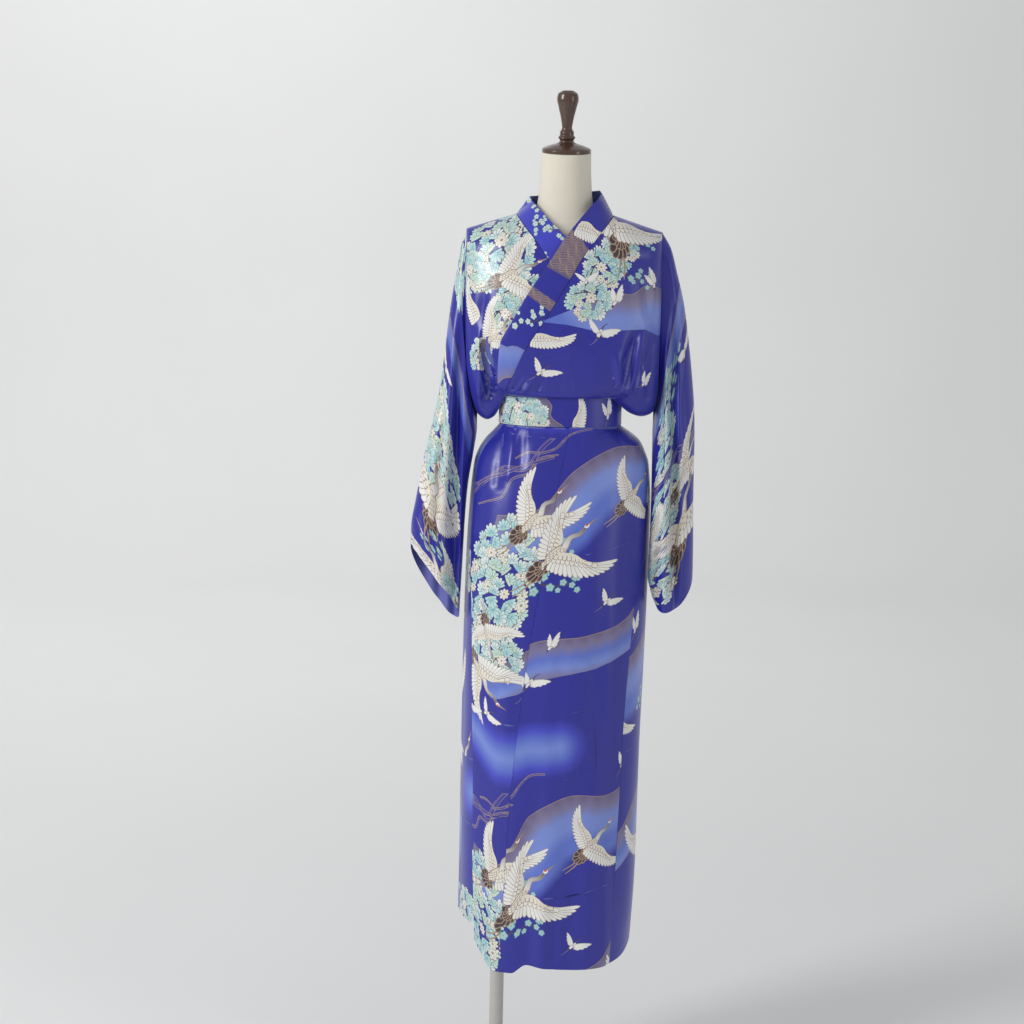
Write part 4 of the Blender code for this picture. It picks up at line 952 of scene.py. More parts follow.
def frond(inks):
    """A leaf of seven round lobes, of radius one, that opens towards +x."""
    art = Art()
    turns = np.linspace(-118, 118, 29)
    bulge = np.abs(np.sin(np.radians((turns + 118) * 180 * 7 / 236)))
    radius = (1.0 - 0.0022 * np.abs(turns)) * (0.72 + 0.28 * bulge**0.7)
    edge = np.stack([radius * np.cos(np.radians(turns)), radius * np.sin(np.radians(turns))], axis=1)
    edge = np.concatenate([edge, [(-0.30, 0.12), (-0.30, -0.12)]])
    art.add(edge, "brown")
    art.add((edge - (0.2, 0.0)) * 0.93 + (0.2, 0.0), inks, (-0.2, 0.0), 1.15)
    for turn in (-84, -50, -17, 17, 50, 84):
        art.add(strip([heading(turn) * 0.12, heading(turn) * 0.68], 0.05, 0.02), "teal")
    return art


def flower(inks):
    """An open flower of two rings of petals, of radius one."""
    art = Art()
    for radius, lobes in ((1.0, 8), (0.62, 6)):
        art.add(lobed(radius, lobes, 0.30), "tan")
        art.add(lobed(0.91 * radius, lobes, 0.32), inks, (0, 0), radius)
    art.add(lobed(0.20, 6, 0.2, 2), "gold")
    return art


def blossom(inks):
    """A small five-petalled blossom of radius one."""
    art = Art()
    art.add(lobed(1.0, 5, 0.26, 4), "teal")
    art.add(lobed(0.88, 5, 0.28, 4), inks, (0, 0), 0.9)
    for k in range(5):
        art.add(strip([heading(72 * k) * 0.20, heading(72 * k) * 0.55], 0.07, 0.03), "gold")
    art.add(lobed(0.17, 5, 0.0, 1), "gold")
    return art


def sprig(seed, inks="foam aqua"):
    """A twig with blossoms and buds, one unit long towards +x."""
    dice = np.random.default_rng(seed)
    art = Art()
    stem = curve([(0, 0), (0.35, 0.08), (0.7, 0.02), (1.0, 0.14)], 9)
    art.add(strip(stem, 0.035, 0.014), "brown")
    spots = []
    for q, side in ((2, 1), (3, -1), (5, 1), (6, -1), (7, 1)):
        root = stem[q]
        tip = root + 0.26 * heading(20 + side * (48 + 8 * dice.standard_normal()))
        art.add(strip(curve([root, (root + tip) / 2 + (0.02, -0.01 * side), tip], 4), 0.022, 0.010), "brown")
        spots += [(tip, 0.062), ((root + tip) / 2 + 0.03 * dice.standard_normal(2), 0.082)]
    spots.append((stem[-1], 0.05))
    spots.append((stem[1], 0.10))
    one = blossom(inks)
    for spot, size in spots:
        art.place(one, spot[0], spot[1], size * (0.85 + 0.4 * dice.random()), 72 * dice.random())
    return art


def bank(seed, wide, high, size=0.017):
    """A bank of leaves and flowers within a rounded outline, in metres."""
    dice = np.random.default_rng(seed)
    art = Art()
    spots = []
    for _ in range(1500):
        x, y = dice.uniform(-1, 1, 2)
        near = any(math.hypot((x - a) * wide, (y - b) * high) < 0.86 * size for a, b in spots)
        if x * x + y * y < 1 and not near:
            spots.append((x, y))
    spots.sort(key=lambda spot: -math.hypot(*spot))
    leaves = [frond("aqua foam foam"), frond("foam white"), frond("aqua foam white"), frond("mint foam")]
    flowers = [flower("mint white"), flower("cream white")]
    for k, (x, y) in enumerate(spots):
        out = math.degrees(math.atan2(y * high, x * wide)) + 40 * dice.standard_normal()
        grown = size * (0.85 + 0.4 * dice.random())
        if k % 9 == 8:
            branch = curve([(x * wide - 0.02, y * high - 0.02), (x * wide, y * high),
                            (x * wide + 0.012, y * high + 0.022)], 6)
            art.add(strip(branch, 0.0022, 0.0010), "brown")
        if k % 5 == 4:
            art.place(flowers[k % 2], x * wide, y * high, 0.72 * grown, out)
        else:
            art.place(leaves[dice.integers(len(leaves))], x * wide, y * high, grown, out)
    return art


def stream(points, wide=0.007, count=40):
    """A ribbon of running water, drawn by its thin edges, in metres."""
    art = Art()
    path = curve(points, count)
    waist = wide * (0.45 + 0.55 * np.sin(np.linspace(0.3, 2.9, 7)))
    art.add(strip(path, *(waist + STREAM_LINE)), "gold")
    art.add(strip(path, *(waist - STREAM_LINE)), "blue haze blue", path[::6], 0.6 * wide)
    along = np.gradient(path, axis=0)
    across = np.stack([-along[:, 1], along[:, 0]], axis=1)
    across = across / np.linalg.norm(across, axis=1, keepdims=True)
    art.add(strip(path + across * 0.15 * wide, STREAM_LINE, STREAM_LINE / 2), "gold")
    return art


def soft_mist(points, half):
    """A bank of mist that fades away on all sides of a path, in metres."""
    art = Art()
    path = curve(points, 12 * len(points))
    ends = np.stack([path[0] - path[2], path[-1] - path[-3]])
    ends = ends / np.linalg.norm(ends, axis=1, keepdims=True) * 1.1 * half
    longer = np.concatenate([[path[0] + ends[0]], path, [path[-1] + ends[1]]])
    art.add(strip(longer, 2.3 * half, 2.3 * half), "pale mist bright blue", path[::3], half)
    return art


def drift(start, end, sway, seed):
    """Places from a start to an end that sway aside by chance, for a mist's edge or a stream, in metres."""
    rng = np.random.default_rng(seed)
    start, end = np.array(start, float), np.array(end, float)
    ahead = end - start
    aside = np.array([-ahead[1], ahead[0]]) / np.linalg.norm(ahead)
    share = np.linspace(0.0, 1.0, DRIFT_PLACES)
    off = sway * rng.uniform(-1.0, 1.0, DRIFT_PLACES) * np.sin(math.pi * share) ** 0.5
    return start + ahead * share[:, None] + aside * off[:, None]


def cloud(crisp, rest, inks="smoke haze pale pale mist mist blue", reach=0.115):
    """A bank of mist, in metres: sharp along one path, fading from it within the rest of its outline."""
    art = Art()
    edge = curve(crisp, 16 * len(crisp))
    art.add(np.concatenate([edge, np.asarray(rest, float)]), inks, edge[::6], reach)
    art.add(strip(edge, 0.0008, 0.0012, 0.0008), "gold")
    return art


def waves(wide, high):
    """A patch of running water, in metres: wavy lines side by side on brown."""
    art = Art()
    art.add([(0, 0), (wide, 0), (wide, high), (0, high)], "smoke")
    across = np.linspace(0.001, wide - 0.001, 64)
    for j in range(int((high - 0.003) / WAVE_GAP)):
        swell = 0.0017 * np.sin(across * 400 + 0.5 * j) + 0.0012 * np.sin(across * 150 + 0.9 * j)
        line_of = np.stack([across, 0.003 + j * WAVE_GAP + swell], axis=1)
        art.add(strip(line_of, 0.0007, 0.0011, 0.0007), "gold" if j % 3 else "tan")
    return art


def motifs():
    """The print's drawings by name."""
    return {
        "crane": crane(50, -52),
        "crane_wide": crane(78, -78, 0.0),
        "crane_high": crane(66, -30, 0.05),
        "wing": lone_wing(),
        "small": small_crane(74, -34),
        "small_closed": small_crane(52, 20),
        "bank_tall": bank(3, 0.062, 0.135),
        "bank": bank(5, 0.060, 0.070),
        "bank_small": bank(7, 0.028, 0.034, 0.013),
        "bank_thin": bank(8, 0.022, 0.050, 0.013),
        "sprig": sprig(4),
        "sprig_low": sprig(9),
        "sprig_white": sprig(6, "white foam"),
        "waves": waves(0.070, 0.072),
        "waves_thin": waves(0.070, 0.018),
        "stream": stream(drift((-0.170, -0.160), (0.030, -0.025), 0.020, 21), 0.008),
        "stream_thin": stream(drift((-0.150, -0.180), (-0.010, -0.080), 0.016, 22), 0.004),
        "stream_low": stream(drift((-0.070, -0.710), (0.060, -0.650), 0.012, 23), 0.004),
        "stream_left": stream(drift((-0.170, -0.770), (0.0, -0.705), 0.016, 24), 0.006),
        "cloud": cloud(drift((0.300, 0.000), (-0.100, -0.190), 0.030, 11),
                       drift((-0.110, -0.270), (0.300, -0.210), 0.020, 12)),
        "band": cloud(drift((-0.115, -0.485), (0.300, -0.300), 0.020, 13),
                      drift((0.300, -0.390), (-0.060, -0.510), 0.014,
                            14), "smoke haze mist pale haze smoke", 0.085),
        "mist_over": cloud(drift((0.020, -0.150), (-0.150, -0.175), 0.010, 15),
                           drift((-0.250, -0.220), (0.020, -0.240), 0.010,
                                 16), "smoke haze pale pale mist", 0.080),
        "mist_left": cloud(drift((-0.120, -0.115), (0.050, -0.120), 0.006, 17),
                           drift((0.050, -0.160), (-0.120, -0.155), 0.006, 18), "haze mist blue", 0.045),
        "mist_right": cloud(drift((-0.130, -0.075), (0.030, -0.075), 0.006, 19),
                            drift((0.030, -0.130), (-0.130, -0.115), 0.006,
                                  20), "haze pale mist haze", 0.045),
        "stream_right": stream(drift((-0.125, -0.215), (0.020, -0.300), 0.014, 25), 0.016),
        "collar_mist": cloud(drift((0.030, -0.010), (-0.030, -0.060), 0.004, 26),
                             drift((-0.030, -0.110), (0.030, -0.085), 0.004,
                                   27), "haze mist pale haze", 0.060),
        "collar_bright": cloud([(-0.03, -0.50), (0.0, -0.50), (0.03, -0.50)],
                               [(0.03, -0.86), (-0.03, -0.86)], "blue bright bright bright blue", 0.36),
        "belt_mist": cloud(drift((-0.035, 0.004), (0.010, -0.054), 0.008, 28),
                           [(-0.050, -0.054), (-0.050, 0.004)], "smoke haze mist pale", 0.050),
        "pale": soft_mist(drift((-0.190, -0.600), (0.085, -0.600), 0.012, 29), 0.052),
    }


PRINT_COLUMNS = "motif across down size turn mirror".split()
# One repeat of the print, as it lies on the front of the skirt
REPEAT = {
    "columns": PRINT_COLUMNS,
    "rows": [
        ("cloud", 0, 0, 1, 0, False),
        ("pale", 0, 0, 1, 0, False),
        ("band", 0, 0, 1, 0, False),
        ("stream", 0, 0, 1, 0, False),
        ("stream_thin", 0, 0, 1, 0, False),
        ("stream_low", 0, 0, 1, 0, False),
        ("stream_left", 0, 0, 1, 0, False),
        ("bank_tall", -0.084, -0.325, 1, -8, False),
        ("bank_small", -0.045, -0.440, 1, 20, False),
        ("sprig", -0.020, -0.322, 0.085, 8, False),
        ("sprig_low", -0.022, -0.300, 0.080, 40, False),
        ("crane_wide", -0.085, -0.400, 0.110, -60, True),
        ("crane_high", -0.036, -0.200, 0.150, 40, False),
        ("crane", 0.012, -0.262, 0.170, 38, False),
        ("crane_wide", 0.136, -0.160, 0.125, 42, False),
        ("crane_high", -0.098, -0.478, 0.150, -20, True),
        ("small", 0.122, -0.342, 0.052, 40, False),
        ("small_closed", 0.037, -0.423, 0.046, 50, False),
        ("small", 0.010, -0.490, 0.058, 45, False),
        ("small", -0.066, -0.545, 0.054, 30, False),
        ("small", -0.110, -0.566, 0.054, 60, False),
        ("small_closed", 0.205, -0.640, 0.050, 60, False),
        ("crane", 0.270, -0.430, 0.150, 100, True),
        ("small", 0.290, -0.300, 0.052, 120, True),
        ("bank_small", 0.330, -0.200, 1, 0, False),
        ("sprig", 0.300, -0.180, 0.08, 150, False),
        ("crane_wide", 0.330, -0.560, 0.14, 60, False),
    ],
}
# The print on the pieces that the photograph shows from the front, placed for each of them
BODICE_OVER_PRINT = {
    "columns": PRINT_COLUMNS,
    "rows": [
        ("mist_over", 0, 0, 1, 0, False),
        ("bank_small", -0.105, -0.085, 0.9, 60, False),
        ("bank_small", -0.142, -0.122, 1.0, 20, False),
        ("bank_small", -0.168, -0.178, 1.05, -30, False),
        ("sprig", -0.125, -0.085, 0.085, 10, False),
        ("sprig_low", -0.130, -0.125, 0.075, -20, False),
        ("crane_wide", -0.105, -0.050, 0.180, 80, False),
        ("small_closed", -0.123, -0.183, 0.052, 50, False),
        ("small", -0.152, -0.240, 0.060, 45, False),
        ("small", -0.258, -0.314, 0.058, 35, False),
        ("small_closed", -0.046, -0.150, 0.050, 85, False),
        ("small", -0.172, -0.145, 0.044, 70, False),
        ("wing", -0.268, -0.245, 0.075, -6, False),
        ("small_closed", -0.060, -0.330, 0.045, 30, False),
    ],
}
BODICE_UNDER_PRINT = {
    "columns": PRINT_COLUMNS,
    "rows": [
        ("bank", 0.080, -0.085, 1.05, 0, False),
        ("bank_small", 0.030, -0.130, 1.1, 40, False),
        ("bank_small", 0.135, -0.170, 1.2, -20, False),
        ("bank_small", 0.105, -0.205, 1.0, 10, False),
        ("bank_small", 0.058, -0.275, 0.8, 0, False),
        ("crane", 0.108, -0.135, 0.135, 20, False),
        ("wing", 0.052, -0.210, 0.075, 118, True),
        ("crane_high", 0.080, -0.245, 0.110, 60, True),
        ("sprig_white", 0.120, -0.060, 0.070, 30, False),
        ("small", 0.180, -0.300, 0.05, 30, False),
    ],
}
SLEEVE_LEFT_PRINT = {
    "columns": PRINT_COLUMNS,
    "rows": [
        ("bank", -0.003, -0.020, 0.75, 0, False),
        ("mist_left", 0.000, 0, 1, 0, False),
        ("small", -0.015, -0.188, 0.052, 80, False),
        ("bank", -0.025, -0.275, 0.80, 80, False),
        ("bank_small", -0.014, -0.235, 0.9, 0, False),
        ("bank_small", -0.034, -0.325, 0.8, 0, False),
        ("wing", -0.044, -0.318, 0.070, -75, False),
        ("crane", -0.033, -0.372, 0.150, 82, False),
        ("small", -0.075, -0.330, 0.045, 70, False),
        ("sprig", -0.062, -0.395, 0.060, -70, False),
        ("crane_high", -0.062, -0.470, 0.120, 30, False),
        ("bank_small", -0.090, -0.470, 0.9, 0, False),
        ("bank_tall", 0.055, -0.330, 0.7, 10, False),
        ("crane", 0.050, -0.150, 0.150, 60, True),
        ("small", 0.100, -0.220, 0.055, 30, False),
        ("crane_wide", 0.105, -0.400, 0.150, 100, False),
        ("sprig_low", 0.080, -0.230, 0.080, -40, False),
    ],
}
SLEEVE_RIGHT_PRINT = {
    "columns": PRINT_COLUMNS,
    "rows": [
        ("mist_right", 0.000, 0, 1, 0, False),
        ("small", -0.021, -0.152, 0.055, 60, False),
        ("bank_thin", -0.091, -0.130, 0.9, 0, False),
        ("bank_thin", -0.089, -0.210, 1.0, 0, False),
        ("bank_thin", -0.085, -0.290, 1.1, 0, False),
        ("bank_thin", -0.077, -0.370, 1.1, 5, False),
        ("bank_thin", -0.070, -0.440, 1.0, 10, False),
        ("sprig", -0.075, -0.180, 0.070, 60, False),
        ("bank_small", -0.055, -0.315, 0.9, 10, False),
        ("stream_right", 0.000, 0, 1, 0, False),
        ("crane", -0.035, -0.318, 0.110, 20, False),
        ("crane_wide", -0.031, -0.400, 0.150, 70, False),
        ("wing", -0.105, -0.330, 0.060, 80, False),
        ("small", -0.115, -0.400, 0.045, 70, False),
        ("bank_tall", 0.055, -0.380, 0.7, 10, False),
        ("crane", 0.045, -0.170, 0.150, 60, True),
        ("small", 0.100, -0.220, 0.055, 30, False),
        ("crane_wide", 0.110, -0.340, 0.150, 100, False),
        ("sprig_low", 0.080, -0.230, 0.080, -40, False),
    ],
}
COLLAR_PRINT = {
    "columns": PRINT_COLUMNS,
    "rows": [
        ("collar_mist", 0, 0, 1, 0, False),
        ("collar_bright", 0, 0, 1, 0, False),
        ("sprig_white", 0.018, -0.120, 0.065, 230, False),
        ("sprig_white", -0.022, -0.170, 0.060, 130, False),
        ("waves_thin", -0.035, -0.205, 1.0, 4, False),
        ("waves", -0.035, -0.322, 1.0, 6, False),
        ("wing", 0.020, -0.335, 0.085, -150, False),
        ("crane_high", 0.000, -0.470, 0.110, -90, False),
        ("sprig_white", -0.018, -0.640, 0.070, -40, False),
        ("sprig_white", 0.015, -0.690, 0.070, -110, False),
        ("sprig_white", -0.010, -0.730, 0.065, -60, False),
        ("sprig_white", -0.012, -0.830, 0.060, 110, False),
    ],
}
BELT_PRINT = {
    "columns": PRINT_COLUMNS,
    "rows": [
        ("belt_mist", 0, 0, 1, 0, False),
        ("bank_small", -0.115, -0.026, 1.0, 0, False),
        ("bank_small", -0.075, -0.022, 1.1, 30, False),
        ("bank_small", -0.050, -0.034, 0.8, 60, False),
        ("wing", 0.022, -0.052, 0.060, 74, False),
        ("small_closed", 0.088, -0.030, 0.050, 70, False),
        ("crane", 0.200, -0.025, 0.120, 10, False),
        ("bank_small", -0.260, -0.025, 1.0, 0, False),
        ("sprig", -0.300, -0.020, 0.07, 0, False),
    ],
}


def drawn(table, drawings):
    """The drawing that a table of motifs makes."""
    art = Art()
    for motif, across, down, size, turn, mirror in table["rows"]:
        art.place(drawings[motif], across, down, size, turn, mirror)
    return art


def repeated(one):
    """The print repeated over a length of cloth."""
    art = Art()
    for j in range(2, -3, -1):
        for i in range(-2, 3):
            shift = np.array(REPEAT_ACROSS) * i + np.array(REPEAT_DOWN) * j
            art.place(one, shift[0], shift[1])
    return art


def inside(outline, points):
    """Which points lie in an outline."""
    x, y = points[:, 0], points[:, 1]
    result = np.zeros(len(points), bool)
    after = np.roll(outline, -1, axis=0)
    for (ax, ay), (bx, by) in zip(outline, after):
        if ay != by:
            result ^= ((ay > y) != (by > y)) & (x < (bx - ax) * (y - ay) / (by - ay) + ax)
    return result


class Cloth:
    """One piece of cloth as a fine grid of points with their outward directions, read between its lines."""

    def __init__(self, points, out, across):
        self.points = points
        self.normals = turned_out(np.gradient(points, axis=1), np.gradient(points, axis=0), out)
        self.across = (across - across[0]) / (across[-1] - across[0])

    def between(self, values, u, v):
        """Values at fractional columns and rows."""
        i = np.clip(u.astype(int), 0, values.shape[1] - 2)
        j = np.clip(v.astype(int), 0, values.shape[0] - 2)
        a, b = (u - i)[..., None], (v - j)[..., None]
        upper = values[j, i] * (1 - a) + values[j, i + 1] * a
        lower = values[j + 1, i] * (1 - a) + values[j + 1, i + 1] * a
        return upper * (1 - b) + lower * b

    def at(self, u, v):
        """Points of the outer face."""
        return self.between(self.points, u, v)

    def facing(self, u, v):
        """Outward directions."""
        normal = self.between(self.normals, u, v)
        return normal / np.maximum(np.linalg.norm(normal, axis=-1, keepdims=True), 1e-12)


def spaced(lines, measure, step):
    """Grid lines with more between them, none further apart than a step. measure gives each gap's length."""
    made = []
    for first, last, gap in zip(lines[:-1], lines[1:], measure):
        made += list(np.linspace(first, last, max(1, math.ceil(gap / step)), endpoint=False))
    return np.array(made + [lines[-1]])


def woven(place, across, down, out, inset=None, creases=None):
    """A piece of cloth from a function of two numbers, moved in by its inset, with its creases."""
    across, down = np.asarray(across, float), np.asarray(down, float)
    u, v = np.meshgrid(across, down)
    points = place(u, v)
    across = spaced(across, np.linalg.norm(np.diff(points, axis=1), axis=-1).max(axis=0), FINE)
    down = spaced(down, np.linalg.norm(np.diff(points, axis=0), axis=-1).max(axis=1), FINE)
    u, v = np.meshgrid(across, down)
    points = place(u, v)
    shift = np.zeros(u.shape)
    if inset is not None:
        shift = shift - inset(points, v)
    if creases is not None:
        shift = shift + creases(points, v)
    flat = Cloth(points, out, across)
    return Cloth(points + flat.normals * shift[..., None], out, across)


def every_other(count):
    """Every second line of a fine grid, and its last."""
    lines = list(range(0, count, COARSE))
    return np.array(lines if lines[-1] == count - 1 else lines + [count - 1])


class Flat:
    """A piece of cloth laid out flat: the place of each of its points across and down, in metres.

    zero is the share of the way across at which the flat cloth's x is 0. Its y is 0 at the top. narrow makes
    up for a piece whose lines lie aslant and come out too long. It is a rough factor.
    """

    def __init__(self, cloth, zero, narrow, shift):
        points = cloth.points
        wide = np.linalg.norm(np.diff(points, axis=1), axis=-1)
        x = np.concatenate([np.zeros((len(points), 1)), np.cumsum(wide, axis=1)], axis=1)
        x = x - x[:, [int(np.argmin(np.abs(cloth.across - zero)))]]
        high = np.linalg.norm(np.diff(points, axis=0), axis=-1).mean(axis=1)
        self.x = x * narrow + shift[0]
        self.y = -np.concatenate([[0], np.cumsum(high)]) + shift[1]
        some = np.ix_(every_other(len(self.y)), every_other(self.x.shape[1]))
        self.grid = np.stack([self.x, np.tile(self.y[:, None], (1, x.shape[1]))], axis=-1)[some]

    def across_at(self, col, low, part):
        """The flat x at a fractional column, between two rows."""
        i = np.clip(col.astype(int), 0, self.x.shape[1] - 2)
        f = col - i
        upper = self.x[low, i] * (1 - f) + self.x[low, i + 1] * f
        lower = self.x[low + 1, i] * (1 - f) + self.x[low + 1, i + 1] * f
        return upper * (1 - part) + lower * part

    def unroll(self, points):
        """The fractional columns and rows of points of the flat cloth."""
        row = np.interp(-points[:, 1], -self.y, np.arange(len(self.y)))
        low = np.clip(row.astype(int), 0, len(self.y) - 2)
        part = row - low
        first = np.zeros(len(points))
        last = np.full(len(points), self.x.shape[1] - 1.0)
        for _ in range(HALVINGS):
            middle = (first + last) / 2
            less = self.across_at(middle, low, part) < points[:, 0]
            first = np.where(less, middle, first)
            last = np.where(less, last, middle)
        return (first + last) / 2, row


def rim_loop(rows, columns):
    """The numbers of a grid's points in order round its rim."""
    number = np.arange(rows * columns).reshape(rows, columns)
    return np.concatenate([number[0, :], number[1:, -1], number[-1, -2::-1], number[-2:0:-1, 0]])


def triangulated(points, edges):
    """The triangles between points, with the edges kept, and the points that are used."""
    made = delaunay_2d_cdt([Vector(p) for p in points], edges, [], 0, 1e-7, False)
    return np.array([tuple(p) for p in made[0]]), np.array([tuple(face) for face in made[2]])


def topmost(middle, shapes):
    """The number of the last shape that holds each point, or -1."""
    found = np.full(len(middle), -1)
    order = np.argsort(middle[:, 0])
    sorted_x = middle[order, 0]
    for k, (outline, *_) in enumerate(shapes):
        first = np.searchsorted(sorted_x, outline[:, 0].min())
        last = np.searchsorted(sorted_x, outline[:, 0].max())
        some = order[first:last]
        some = some[(middle[some, 1] > outline[:, 1].min()) & (middle[some, 1] < outline[:, 1].max())]
        if len(some):
            found[some[inside(outline, middle[some])]] = k
    return found


def edge_table(triangles):
    """Every edge of the triangles once, with the two triangles beside it (the second is -1 on the rim)."""
    sides = np.sort(np.concatenate([triangles[:, [0, 1]], triangles[:, [1, 2]], triangles[:, [2, 0]]]),
                    axis=1)
    owner = np.tile(np.arange(len(triangles)), 3)
    order = np.lexsort((sides[:, 1], sides[:, 0]))
    sides, owner = sides[order], owner[order]
    fresh = np.ones(len(sides), bool)
    fresh[1:] = (sides[1:] != sides[:-1]).any(axis=1)
    start = np.flatnonzero(fresh)
    twice = np.zeros(len(start), bool)
    twice[:-1] = np.diff(start) == 2
    twice[-1] = len(sides) - start[-1] == 2
    second = np.full(len(start), -1)
    second[twice] = owner[start[twice] + 1]
    return sides[start], owner[start], second


def straightened(places, edges, kept):
    """Edges with the needless points along straight stretches left out."""
    beside = {}
    for a, b in edges:
        beside.setdefault(a, set()).add(b)
        beside.setdefault(b, set()).add(a)
    for point in list(beside):
        if point in kept or len(beside[point]) != 2:
            continue
        a, b = beside[point]
        if b in beside[a]:
            continue
        first, last = places[point] - places[a], places[b] - places[point]
        bend = abs(first[0] * last[1] - first[1] * last[0])
        if bend > STRAIGHT * math.hypot(*first) * math.hypot(*last) or first @ last <= 0:
            continue
        if bend > OFF_LINE * math.hypot(*(places[b] - places[a])):
            continue
        del beside[point]
        for here, there in ((a, b), (b, a)):
            beside[here].discard(point)
            beside[here].add(there)
    return sorted((a, b) for a in beside for b in beside[a] if a < b)


def cut_up(flat, art):
    """The triangles of a flat piece, cut along what shows of its print, with each one's shape (-1 is none).

    All outlines are cut first. Then the cloth is cut again, along the edges between different inks only.
    """
    grid = flat.grid.reshape(-1, 2)
    loop = rim_loop(*flat.grid.shape[:2])
    outline = grid[loop]
    low, high = grid.min(axis=0), grid.max(axis=0)
    shapes = [s for s in art.shapes if (s[0].max(axis=0) > low).all() and (s[0].min(axis=0) < high).all()]
    points = outline.tolist()
    edges = [(i, (i + 1) % len(loop)) for i in range(len(loop))]
    for shape in shapes:
        start, count = len(points), len(shape[0])
        points += shape[0].tolist()
        edges += [(start + i, start + (i + 1) % count) for i in range(count)]
    places, triangles = triangulated(points, edges)
    middle = places[triangles].mean(axis=1)
    shape_of = topmost(middle, shapes)
    number = {}
    colour = [number.setdefault(" ".join(s[1]), len(number)) if len(s[1]) == 1 else 10**6 + k
              for k, s in enumerate(shapes)]
    colour_of = np.array(colour + [-1])[shape_of]
    sides, first, second = edge_table(triangles)
    shows = (second >= 0) & (colour_of[first] != colour_of[second])
    on_rim = np.abs(distance_to(outline, places)) < ON_RIM
    kept = set(np.flatnonzero(on_rim).tolist())
    inner = [(int(a), int(b)) for a, b in sides[shows]]
    inner = straightened(places, inner, kept)
    used = np.unique(np.array(inner)) if inner else np.zeros(0, int)
    renumber = {int(p): len(grid) + i for i, p in enumerate(used)}
    edges = [(renumber[a], renumber[b]) for a, b in inner]
    edges += list(zip(loop.tolist(), np.roll(loop, -1).tolist()))
    places, triangles = triangulated(grid.tolist() + places[used].tolist(), edges)
    middle = places[triangles].mean(axis=1)
    triangles = triangles[inside(outline, middle)]
    used = np.unique(triangles)
    renumber = np.full(len(places), -1)
    renumber[used] = np.arange(len(used))
    shape_of = topmost(places[triangles].mean(axis=1), shapes)
    return places[used], renumber[triangles], shape_of, shapes


def distance_to(outline, points):
    """How far points lie from the nearest edge of an outline."""
    nearest = np.full(len(points), np.inf)
    for start, end in zip(outline, np.roll(outline, -1, axis=0)):
        low = np.minimum(start, end) - ON_RIM
        high = np.maximum(start, end) + ON_RIM
        some = np.flatnonzero((points > low).all(axis=1) & (points < high).all(axis=1))
        along = end - start
        t = np.clip((points[some] - start) @ along / max(along @ along, 1e-18), 0, 1)[:, None]
        away = np.linalg.norm(points[some] - start - t * along, axis=1)
        nearest[some] = np.minimum(nearest[some], away)
    return nearest


def dye(places, triangles, shape_of, shapes):
    """The colour at each corner of each triangle."""
    colour = np.tile(ink("blue"), (len(triangles), 3, 1))
    order = np.argsort(shape_of, kind="stable")
    starts = np.searchsorted(shape_of[order], np.arange(len(shapes) + 1))
    for k, (_, names, start, reach) in enumerate(shapes):
        mine = order[starts[k]:starts[k + 1]]
        if len(mine) == 0:
            continue
        inks = np.array([ink(name) for name in names])
        if len(inks) == 1:
            colour[mine] = inks[0]
            continue
        corners = places[triangles[mine]].reshape(-1, 1, 2)
        away = np.linalg.norm(corners - start[None], axis=-1).min(axis=1) / reach
        stops = np.linspace(0.0, 1.0, len(inks))
        blend = np.stack([np.interp(away, stops, inks[:, i]) for i in range(3)], axis=-1)
        colour[mine] = blend.reshape(-1, 3, 3)
    return colour


def turned_out(du, dv, out):
    """The direction away from the body, from two slopes of a sheet."""
    normal = np.cross(du, dv) * out
    return normal / np.maximum(np.linalg.norm(normal, axis=-1, keepdims=True), 1e-12)


def add_mesh(name, points, faces, *materials):
    """An object from points and faces, shaded smooth."""
    mesh = bpy.data.meshes.new(name)
    mesh.from_pydata(np.asarray(points, float).tolist(), [], [list(map(int, face)) for face in faces])
    for material in materials:
        mesh.materials.append(material)
    mesh.shade_smooth()
    made = bpy.data.objects.new(name, mesh)
    bpy.context.scene.collection.objects.link(made)
    return made


def plain_side(flat, places, rim):
    """The triangles of the cloth's unprinted side, which meets the printed side's rim."""
    grid = flat.grid[1:-1:2, 1:-1:2].reshape(-1, 2)
    edge_points = np.unique(rim)
    number = {int(p): i for i, p in enumerate(edge_points)}
    points = [tuple(p) for p in places[edge_points]] + [tuple(p) for p in grid]
    edges = [(number[int(a)], number[int(b)]) for a, b in rim]
    made = delaunay_2d_cdt([Vector(p) for p in points], edges, [], 0, 1e-7, True)
    found = np.array([tuple(p) for p in made[0]])
    triangles = np.array([tuple(face) for face in made[2]])
    outline = flat.grid.reshape(-1, 2)[rim_loop(*flat.grid.shape[:2])]
    triangles = triangles[inside(outline, found[triangles].mean(axis=1))]
    source = np.array([min(group) for group in made[3]])
    on_rim = source < len(edge_points)
    same = np.full(len(found), -1)
    same[on_rim] = edge_points[source[on_rim]]
    return found, triangles, same


